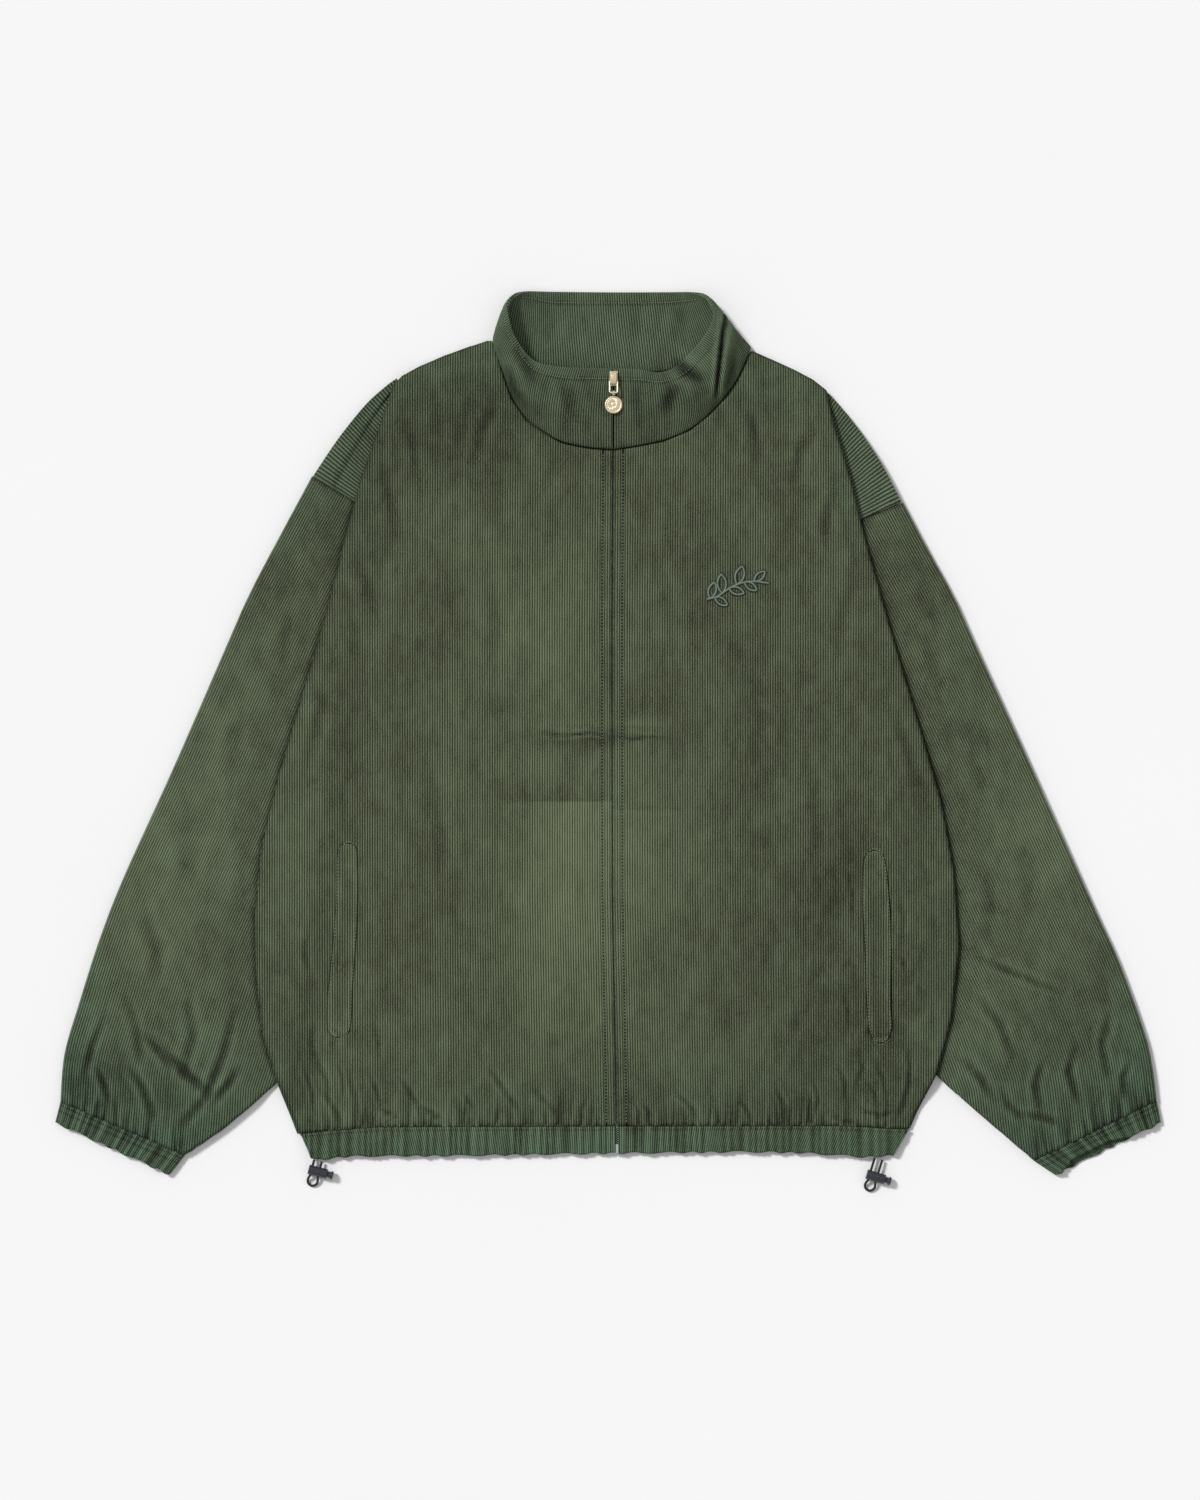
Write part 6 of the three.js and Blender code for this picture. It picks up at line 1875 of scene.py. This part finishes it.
@dataclass(frozen=True)
class CordLock:
    """A cord lock: barrel, push button and the drawcord's loop through it.

    Attributes:
        side: left or right.
        x: place of the cords' middle in the barrel.
        y: the same.
        turn: turn of the barrel about Z, in degrees.
        to_hem: distance from the barrel's axis to the hem.
    """

    side: Side
    x: float
    y: float
    turn: float
    to_hem: float
    height: float = 4.6
    diameter: float = 2.2

    def route(self) -> Array:
        """The cord's route, from the hem through the barrel, round the loop and back, in the row's frame."""
        half = [
            (3.5, self.to_hem, -0.6), (3.5, self.to_hem / 2 + 2.2, -0.3), (3.5, 4.4, -0.1), (3.5, 0, 0),
            (3.5, -4.4, -0.1), (3.75, -6, -0.5), (4.3, -7.6, -1.3), (4.5, -9.3, -2.1), (4.185, -11, -2.7),
            (3.06, -12.6, -3), (1.62, -13.5, -3.2),
        ]
        other = [(-x, y, z) for x, y, z in reversed(half)]
        local = np.array([*half, (0, -13.85, -3.2), *other])
        angle = math.radians(self.turn)
        x = self.x + local[:, 0] * math.cos(angle) - local[:, 1] * math.sin(angle)
        y = self.y + local[:, 0] * math.sin(angle) + local[:, 1] * math.cos(angle)
        return np.column_stack([x, y, local[:, 2] + self.height])

    def build_cord(self, material: bpy.types.Material) -> bpy.types.Object:
        """The drawcord as one open curve that goes back into the hem."""
        line = curve_through(self.route(), 91)
        curve = bpy.data.curves.new(f"cord_{self.side.value}", "CURVE")
        curve.dimensions = "3D"
        curve.bevel_depth = self.diameter / 2 * METRE
        curve.bevel_resolution = 5
        curve.use_fill_caps = True
        spline = curve.splines.new("POLY")
        spline.points.add(len(line) - 1)
        spline.points.foreach_set("co", np.column_stack([line * METRE, np.ones(len(line))]).ravel())
        curve.materials.append(material)
        cord = bpy.data.objects.new(f"cord_{self.side.value}", curve)
        bpy.context.scene.collection.objects.link(cord)
        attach(cord, "jacket")
        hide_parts(f"draw_cord_{self.side.value}")
        return cord

    def build(self, plastic: bpy.types.Material) -> None:
        """The barrel and the button, rounded."""
        name = self.side.value
        refined_copy(f"cord_lock_barrel_{name}", f"lock_barrel_{name}", "jacket", plastic, 0.45)
        refined_copy(f"cord_lock_button_{name}", f"lock_button_{name}_head", f"lock_button_{name}",
                     plastic, 0.3)


class Graph:
    """Short calls to add and link shader nodes in one tree."""

    def __init__(self, tree: bpy.types.NodeTree) -> None:
        """Keeps the tree."""
        self.tree = tree

    def add(self, kind: str, **settings: object) -> bpy.types.Node:
        """Adds a node of a kind and sets its properties."""
        node = self.tree.nodes.new(kind)
        for key, value in settings.items():
            setattr(node, key, value)
        return node

    def feed(self, node: bpy.types.Node, socket: str | int, source: object) -> None:
        """Links a socket's source into a node's input, or sets its value."""
        if isinstance(source, bpy.types.NodeSocket):
            self.tree.links.new(source, node.inputs[socket])
        else:
            node.inputs[socket].default_value = source

    def math(self, operation: str, first: object, second: object = 0.0, clamp: bool = False
             ) -> bpy.types.NodeSocket:
        """Adds a Math node and gives its output."""
        node = self.add("ShaderNodeMath", operation=operation, use_clamp=clamp)
        self.feed(node, 0, first)
        self.feed(node, 1, second)
        return node.outputs[0]

    def noise(self, vector: object, scale: float, detail: float = 2.0, rough: float = 0.55
              ) -> bpy.types.NodeSocket:
        """Adds a Noise Texture and gives its value."""
        node = self.add("ShaderNodeTexNoise")
        self.feed(node, "Vector", vector)
        self.feed(node, "Scale", scale)
        self.feed(node, "Detail", detail)
        self.feed(node, "Roughness", rough)
        return node.outputs["Fac"]

    def stretched(self, vector: object, scale: tuple[float, float, float]) -> bpy.types.NodeSocket:
        """Adds a Mapping node that stretches a vector."""
        node = self.add("ShaderNodeMapping")
        self.feed(node, "Vector", vector)
        self.feed(node, "Scale", scale)
        return node.outputs[0]

    def mix(self, factor: object, first: object, second: object, blend: str = "MIX") -> bpy.types.NodeSocket:
        """Adds a colour Mix node and gives its result."""
        node = self.add("ShaderNodeMix", data_type="RGBA", blend_type=blend)
        self.feed(node, 0, factor)
        self.feed(node, 6, first)
        self.feed(node, 7, second)
        return node.outputs[2]

    def bump(self, height: object, strength: float, distance: float) -> bpy.types.NodeSocket:
        """Adds a Bump node and gives its normal."""
        node = self.add("ShaderNodeBump")
        self.feed(node, "Height", height)
        self.feed(node, "Strength", strength)
        self.feed(node, "Distance", distance)
        return node.outputs[0]


def srgb(red: int, green: int, blue: int) -> tuple[float, float, float, float]:
    """A screen colour from 0 to 255 as linear values with alpha."""
    values = [c / 255 for c in (red, green, blue)]
    linear = [v / 12.92 if v <= 0.04045 else ((v + 0.055) / 1.055) ** 2.4 for v in values]
    return (*linear, 1.0)


def new_group(name: str, inputs: list[tuple[str, str, object]], outputs: list[tuple[str, str]]
              ) -> tuple[bpy.types.NodeTree, Graph, bpy.types.Node, bpy.types.Node]:
    """Makes an empty shader node group.

    Args:
        name: its name.
        inputs: each socket's name, type and default.
        outputs: each socket's name and type.

    Returns:
        The group, a Graph on it, and its input and output nodes.
    """
    group = bpy.data.node_groups.new(name, "ShaderNodeTree")
    for label, kind, value in inputs:
        socket = group.interface.new_socket(name=label, in_out="INPUT", socket_type=kind)
        socket.default_value = value
    for label, kind in outputs:
        group.interface.new_socket(name=label, in_out="OUTPUT", socket_type=kind)
    graph = Graph(group)
    return group, graph, graph.add("NodeGroupInput"), graph.add("NodeGroupOutput")


def corduroy_group() -> bpy.types.NodeTree:
    """The wales' colour, roughness and pile height, from the weave UV map, the nap tone with its painted light and
    shade, and the cool tone.

    The wale's section is |sin(pi u / pitch)|^1.35. Each wale has its own streaks along it, tufts cross it, and
    two sizes of cloud mottle the nap. Light nap turns greener and dark nap browner.
    """
    group, g, source, sink = new_group(
        "Corduroy pile",
        [
            ("Pitch", "NodeSocketFloat", WALE * METRE),
            ("Crest", "NodeSocketColor", srgb(96, 105, 82)),
            ("Valley", "NodeSocketColor", srgb(34, 35, 24)),
            ("Cool", "NodeSocketColor", srgb(84, 108, 92)),
            ("Mottle", "NodeSocketFloat", 1.0),
        ],
        [("Color", "NodeSocketColor"), ("Roughness", "NodeSocketFloat"), ("Height", "NodeSocketFloat")],
    )
    uv = g.add("ShaderNodeUVMap", uv_map="weave").outputs[0]
    place = g.add("ShaderNodeTexCoord").outputs["Object"]
    # This attribute holds the nap's tone with painted light and shade added
    nap_and_painted_light = g.add("ShaderNodeAttribute", attribute_name="nap_and_painted_light").outputs["Fac"]
    cool = g.add("ShaderNodeAttribute", attribute_name="cool").outputs["Fac"]
    parts = g.add("ShaderNodeSeparateXYZ")
    g.feed(parts, 0, uv)
    wobble = g.noise(g.stretched(uv, (40.0, 70.0, 1.0)), 1.0, 1.0)
    turned = g.math("MULTIPLY", g.math("SUBTRACT", wobble, 0.5), 0.0004)
    turns = g.math("DIVIDE", g.math("ADD", parts.outputs[0], turned), source.outputs["Pitch"])
    sine = g.math("ABSOLUTE", g.math("SINE", g.math("MULTIPLY", turns, math.pi)))
    crest = g.math("POWER", sine, 1.35)
    streaks = g.noise(g.stretched(uv, (430.0, 26.0, 1.0)), 1.0, 2.0)
    tufts = g.noise(g.stretched(uv, (800.0, 1300.0, 1.0)), 1.0, 3.0, 0.75)
    clouds = g.noise(g.stretched(place, (17.0, 9.0, 17.0)), 1.0, 4.0, 0.6)
    patches = g.noise(g.stretched(place, (90.0, 55.0, 90.0)), 1.0, 3.0, 0.65)
    drift = g.math("MULTIPLY", g.math("SUBTRACT", clouds, 0.5), 0.8)
    drift = g.math("ADD", drift, g.math("MULTIPLY", g.math("SUBTRACT", patches, 0.5), 0.85))
    drift = g.math("ADD", drift, g.math("MULTIPLY", g.math("SUBTRACT", streaks, 0.5), 0.3))
    drift = g.math("MULTIPLY", drift, source.outputs["Mottle"])
    drift = g.math("ADD", drift, g.math("MULTIPLY", g.math("SUBTRACT", tufts, 0.5), 3.2))
    light = g.math("ADD", g.math("ADD", drift, g.math("MULTIPLY", nap_and_painted_light, 1.35)), 1.0)
    tone = g.math("MULTIPLY", crest, light, clamp=False)
    cool_share = g.math("ADD", g.math("MULTIPLY", cool, 0.75), g.math("MULTIPLY", drift, 0.4), clamp=True)
    crown = g.mix(cool_share, source.outputs["Crest"], source.outputs["Cool"])
    # The valley colour is the ground weave's, darkened to paint the shade in the grooves between the wales
    base = g.mix(g.math("MINIMUM", tone, 1.0), source.outputs["Valley"], crown)
    bright = g.math("ADD", g.math("MULTIPLY", g.math("SUBTRACT", light, 1.0), 0.55), 1.0)
    spread = g.add("ShaderNodeCombineXYZ")
    for channel in range(3):
        g.feed(spread, channel, bright)
    color = g.mix(1.0, base, spread.outputs[0], "MULTIPLY")
    g.feed(sink, "Color", color)
    g.feed(sink, "Roughness", g.math("ADD", 0.82, g.math("MULTIPLY", tufts, 0.15)))
    g.feed(sink, "Height", g.math("ADD", g.math("MULTIPLY", tufts, 0.5), g.math("MULTIPLY", crest, 0.5)))
    return group


def wear_group() -> bpy.types.NodeTree:
    """Fine scratches and smudges for hard pieces: a mask and a roughness, from Object coordinates."""
    group, g, source, sink = new_group(
        "Fine wear",
        [("Scale", "NodeSocketFloat", 900.0), ("Low", "NodeSocketFloat", 0.2), ("High", "NodeSocketFloat", 0.4)],
        [("Mask", "NodeSocketFloat"), ("Roughness", "NodeSocketFloat")],
    )
    place = g.add("ShaderNodeTexCoord").outputs["Object"]
    scaled = g.add("ShaderNodeVectorMath", operation="SCALE")
    g.feed(scaled, 0, place)
    g.feed(scaled, "Scale", source.outputs["Scale"])
    clouds = g.noise(scaled.outputs[0], 0.3, 3.0)
    lines = g.noise(g.stretched(scaled.outputs[0], (1.0, 7.0, 1.0)), 1.0, 2.0)
    mask = g.math("MULTIPLY", clouds, lines, clamp=True)
    spread = g.math("SUBTRACT", source.outputs["High"], source.outputs["Low"])
    g.feed(sink, "Mask", mask)
    g.feed(sink, "Roughness", g.math("ADD", source.outputs["Low"], g.math("MULTIPLY", mask, spread)))
    return group


def new_material(name: str) -> tuple[bpy.types.Material, Graph, bpy.types.Node]:
    """Makes a material and gives it with a Graph on it and its Principled shader."""
    material = bpy.data.materials.new(name)
    material.use_nodes = True
    graph = Graph(material.node_tree)
    return material, graph, material.node_tree.nodes["Principled BSDF"]


@dataclass(frozen=True)
class CorduroyFinish:
    """Cotton corduroy: matt, with a faint sheen on the pile."""

    name: str
    group: bpy.types.NodeTree
    pitch: float = WALE
    crest: tuple[int, int, int] = (100, 109, 84)
    # The valley colour is the ground weave's, darkened to paint the shade in the grooves between the wales
    valley: tuple[int, int, int] = (23, 16, 8)
    cool: tuple[int, int, int] = (80, 107, 86)
    mottle: float = 1.0

    def make(self) -> bpy.types.Material:
        """Builds the material."""
        material, g, shader = new_material(self.name)
        pile = g.add("ShaderNodeGroup", node_tree=self.group)
        g.feed(pile, "Pitch", self.pitch * METRE)
        g.feed(pile, "Crest", srgb(*self.crest))
        g.feed(pile, "Valley", srgb(*self.valley))
        g.feed(pile, "Cool", srgb(*self.cool))
        g.feed(pile, "Mottle", self.mottle)
        g.feed(shader, "Base Color", pile.outputs["Color"])
        g.feed(shader, "Roughness", pile.outputs["Roughness"])
        g.feed(shader, "Normal", g.bump(pile.outputs["Height"], 0.5, 0.0004))
        g.feed(shader, "Specular IOR Level", 0.18)
        g.feed(shader, "Sheen Weight", 0.06)
        g.feed(shader, "Sheen Roughness", 0.45)
        g.feed(shader, "Sheen Tint", srgb(150, 170, 140))
        return material


@dataclass(frozen=True)
class ThreadFinish:
    """Sewing thread: fine twisted fibres."""

    name: str
    color: tuple[int, int, int]
    dark: tuple[int, int, int]
    roughness: float = 0.6

    def make(self) -> bpy.types.Material:
        """Builds the material."""
        material, g, shader = new_material(self.name)
        place = g.add("ShaderNodeTexCoord").outputs["Object"]
        fibres = g.noise(g.stretched(place, (2600.0, 2600.0, 900.0)), 1.0, 2.0)
        clouds = g.noise(g.stretched(place, (120.0, 120.0, 120.0)), 1.0, 2.0)
        share = g.math("ADD", g.math("MULTIPLY", fibres, 0.7), g.math("MULTIPLY", clouds, 0.4), clamp=True)
        g.feed(shader, "Base Color", g.mix(share, srgb(*self.dark), srgb(*self.color)))
        g.feed(shader, "Roughness", self.roughness)
        g.feed(shader, "Normal", g.bump(fibres, 0.6, 0.0002))
        g.feed(shader, "Sheen Weight", 0.2)
        return material


@dataclass(frozen=True)
class MetalFinish:
    """Plated metal with fine wear."""

    name: str
    group: bpy.types.NodeTree
    color: tuple[int, int, int]
    worn: tuple[int, int, int]
    low: float = 0.22
    high: float = 0.45
    metallic: float = 1.0

    def make(self) -> bpy.types.Material:
        """Builds the material."""
        material, g, shader = new_material(self.name)
        wear = g.add("ShaderNodeGroup", node_tree=self.group)
        g.feed(wear, "Low", self.low)
        g.feed(wear, "High", self.high)
        g.feed(shader, "Base Color", g.mix(wear.outputs["Mask"], srgb(*self.color), srgb(*self.worn)))
        g.feed(shader, "Roughness", wear.outputs["Roughness"])
        g.feed(shader, "Metallic", self.metallic)
        g.feed(shader, "Normal", g.bump(wear.outputs["Mask"], 0.12, 0.0002))
        return material


@dataclass(frozen=True)
class PlasticFinish:
    """Moulded black plastic, satin, with a faint grain."""

    name: str
    group: bpy.types.NodeTree
    color: tuple[int, int, int] = (30, 32, 37)
    pale: tuple[int, int, int] = (72, 77, 88)

    def make(self) -> bpy.types.Material:
        """Builds the material."""
        material, g, shader = new_material(self.name)
        wear = g.add("ShaderNodeGroup", node_tree=self.group)
        g.feed(wear, "Scale", 1600.0)
        g.feed(wear, "Low", 0.22)
        g.feed(wear, "High", 0.5)
        g.feed(shader, "Base Color", g.mix(wear.outputs["Mask"], srgb(*self.color), srgb(*self.pale)))
        g.feed(shader, "Roughness", wear.outputs["Roughness"])
        g.feed(shader, "Normal", g.bump(wear.outputs["Mask"], 0.25, 0.0002))
        return material


@dataclass(frozen=True)
class BraidFinish:
    """Braided elastic cord: crossed strands, from Object coordinates."""

    name: str
    color: tuple[int, int, int] = (30, 31, 34)
    dark: tuple[int, int, int] = (10, 10, 12)

    def make(self) -> bpy.types.Material:
        """Builds the material."""
        material, g, shader = new_material(self.name)
        place = g.add("ShaderNodeTexCoord").outputs["Object"]
        heights = []
        for turn in (math.radians(35), math.radians(-35)):
            mapping = g.add("ShaderNodeMapping")
            g.feed(mapping, "Vector", place)
            g.feed(mapping, "Rotation", (0.0, 0.0, turn))
            wave = g.add("ShaderNodeTexWave", wave_type="BANDS", bands_direction="Y")
            g.feed(wave, "Vector", mapping.outputs[0])
            g.feed(wave, "Scale", 420.0)
            g.feed(wave, "Distortion", 0.6)
            heights.append(wave.outputs["Fac"])
        strands = g.math("MULTIPLY", heights[0], heights[1])
        g.feed(shader, "Base Color", g.mix(strands, srgb(*self.dark), srgb(*self.color)))
        g.feed(shader, "Roughness", 0.72)
        g.feed(shader, "Normal", g.bump(strands, 0.7, 0.0003))
        g.feed(shader, "Sheen Weight", 0.2)
        return material


@dataclass(frozen=True)
class TapeFinish:
    """Woven zip tape: a fine herringbone of crossed bands."""

    name: str
    color: tuple[int, int, int] = (52, 60, 44)
    dark: tuple[int, int, int] = (28, 32, 22)

    def make(self) -> bpy.types.Material:
        """Builds the material."""
        material, g, shader = new_material(self.name)
        place = g.add("ShaderNodeTexCoord").outputs["Object"]
        parts = g.add("ShaderNodeSeparateXYZ")
        g.feed(parts, 0, place)
        folded = g.math("PINGPONG", parts.outputs[0], 0.0015)
        slope = g.math("ADD", folded, parts.outputs[1])
        bands = g.math("SINE", g.math("MULTIPLY", slope, 2 * math.pi / 0.0007))
        share = g.math("ADD", g.math("MULTIPLY", bands, 0.4), 0.5, clamp=True)
        g.feed(shader, "Base Color", g.mix(share, srgb(*self.dark), srgb(*self.color)))
        g.feed(shader, "Roughness", 0.85)
        g.feed(shader, "Normal", g.bump(share, 0.4, 0.0002))
        return material


@dataclass
class Studio:
    """A plain pale floor, a big soft key from the upper left and a camera straight above."""

    camera_height: float = 4.05
    frame_height: float = 1.35
    centre: tuple[float, float] = (-0.0072, -0.0159)
    floor_size: float = 8.0

    def camera(self) -> None:
        """A long lens straight down, image up along +Y. Its sensor's long side takes in the frame's height."""
        data = bpy.data.cameras.new("overhead")
        data.sensor_width = 36.0
        data.lens = data.sensor_width * self.camera_height / self.frame_height
        data.clip_end = 50.0
        camera = bpy.data.objects.new("overhead", data)
        camera.location = (*self.centre, self.camera_height)
        bpy.context.scene.collection.objects.link(camera)
        bpy.context.scene.camera = camera

    def floor(self) -> None:
        """The surface that the jacket lies on."""
        half = self.floor_size / 2
        mesh = bpy.data.meshes.new("floor")
        corners = [(-half, -half, -0.0002), (half, -half, -0.0002), (half, half, -0.0002), (-half, half, -0.0002)]
        mesh.from_pydata(corners, [], [(0, 1, 2, 3)])
        material, g, shader = new_material("pale floor")
        place = g.add("ShaderNodeTexCoord").outputs["Object"]
        grain = g.noise(g.stretched(place, (3.0, 3.0, 3.0)), 1.0, 2.0)
        g.feed(shader, "Base Color", g.mix(grain, srgb(246, 246, 246), srgb(248, 248, 248)))
        g.feed(shader, "Roughness", 0.9)
        g.feed(shader, "Specular IOR Level", 0.1)
        mesh.materials.append(material)
        floor = bpy.data.objects.new("floor", mesh)
        bpy.context.scene.collection.objects.link(floor)

    def light(self, name: str, place: tuple[float, float, float], spread: float, power: float) -> None:
        """One far light that shines from a place towards the jacket, softened by its spread in degrees."""
        data = bpy.data.lights.new(name, "SUN")
        data.angle = math.radians(spread)
        data.energy = power
        lamp = bpy.data.objects.new(name, data)
        lamp.location = place
        lamp.rotation_mode = "QUATERNION"
        lamp.rotation_quaternion = Vector(place).to_track_quat("Z", "Y")
        bpy.context.scene.collection.objects.link(lamp)

    def build(self) -> None:
        """Sets up the whole studio."""
        world = bpy.data.worlds.new("soft room")
        world.use_nodes = True
        background = world.node_tree.nodes["Background"]
        background.inputs["Color"].default_value = (1.0, 1.0, 1.0, 1.0)
        background.inputs["Strength"].default_value = 0.47
        scene = bpy.context.scene
        scene.world = world
        scene.view_settings.view_transform = "Standard"
        self.floor()
        self.light("key", (-2.4, 2.0, 2.9), 12.0, 2.45)


def corners(bounds: tuple) -> list[list[float]]:
    """The two corners of a box as plain lists."""
    return [[float(v) for v in corner] for corner in bounds]


def main() -> None:
    """Builds the jacket on its frame, piece by piece, and notes the sizes."""
    logging.basicConfig(level=logging.INFO, format="%(message)s")
    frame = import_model()
    studio = Studio()
    studio.camera()
    cord_finish = BraidFinish("braided cord").make()
    locks = (
        CordLock(LEFT, -263.2, -394.4, -15.2, 9.5),
        CordLock(RIGHT, 238.4, -398.9, -17.4, 16.2),
    )
    cords = [lock.build_cord(cord_finish) for lock in locks]
    studio.build()

    pile, wear = corduroy_group(), wear_group()
    cloth = CorduroyFinish("corduroy", pile).make()
    sleeve_cloth = CorduroyFinish("corduroy sleeve", pile).make()
    opened = CorduroyFinish("corduroy bent open", pile, INSET_WALE, (109, 120, 96), (8, 5, 2), mottle=0.7).make()
    band_cloth = CorduroyFinish("corduroy bands", pile, pitch=2.05, crest=(107, 116, 90)).make()
    cuff_cloth = CorduroyFinish("corduroy cuffs", pile, pitch=2.0, crest=(110, 119, 93)).make()
    thread = ThreadFinish("topstitch thread", (132, 150, 120), (84, 98, 74)).make()
    tonal = ThreadFinish("tonal embroidery", (136, 158, 132), (60, 74, 58), 0.42).make()
    # Dark thread colour that paints the shadow round the embroidery's cords
    sprig_painted_shadow = ThreadFinish("painted shadow of embroidery", (26, 32, 22), (12, 15, 9), 0.6).make()
    gold = MetalFinish("pale gold", wear, (238, 224, 192), (206, 184, 138), metallic=0.5).make()
    nickel = MetalFinish("nickel", wear, (196, 212, 206), (140, 156, 150), metallic=0.6).make()
    plastic = PlasticFinish("black plastic", wear).make()
    tape = TapeFinish("zip tape weave").make()

    heights = Heights()
    fronts = Fronts(heights)
    Back(heights).build(cloth)
    HemBands().build_all(band_cloth)
    welts = Welts(fronts)
    collar = Collar()
    collar.build(CorduroyFinish("corduroy collar", pile, crest=(103, 113, 88), valley=(13, 9, 5), mottle=0.85).make())
    zip_parts = ZipParts()
    for side in Side:
        fronts.build(side, cloth)
        welts.build(side, cloth)
        sleeve = Sleeve(side, heights)
        sleeve.build(sleeve_cloth)
        ShoulderInset(side, heights).build(opened)
        Cuff(side, sleeve).build(cuff_cloth)
        zip_parts.tape(side, tape)
    zip_parts.teeth(nickel)
    refined_copy("zip_box", "zip_box_shell", "jacket", nickel, 0.35)
    refined_copy("zip_slider", "slider_body", "jacket", gold, 0.35)
    zip_parts.link(gold)
    zip_parts.coin(gold)
    for lock in locks:
        lock.build(plastic)
    sewing = Sewing(fronts, collar, welts)
    paths = [*sewing.zip_rows(), *sewing.welt_rows(), *sewing.collar_rows()]
    Stitching().build("topstitching", paths, "jacket", "corduroy", thread)
    Sprig(fronts).build("chest_sprig", tonal)
    # A wider, lower dark cord under the embroidery: painted shadow round its cords
    Sprig(fronts, half_width=2.1, rise=0.8).build("chest_sprig_painted_shadow", sprig_painted_shadow)

    bpy.context.view_layer.update()
    meshes = [piece.data for piece in bpy.context.scene.objects if piece.type == "MESH"]
    total = sum(len(mesh.loops) - 2 * len(mesh.polygons) for mesh in meshes)
    log.info("%d frame nodes, %d cords, %d triangles", len(frame["nodes"]), len(cords), total)


if __name__ == "__main__":
    main()
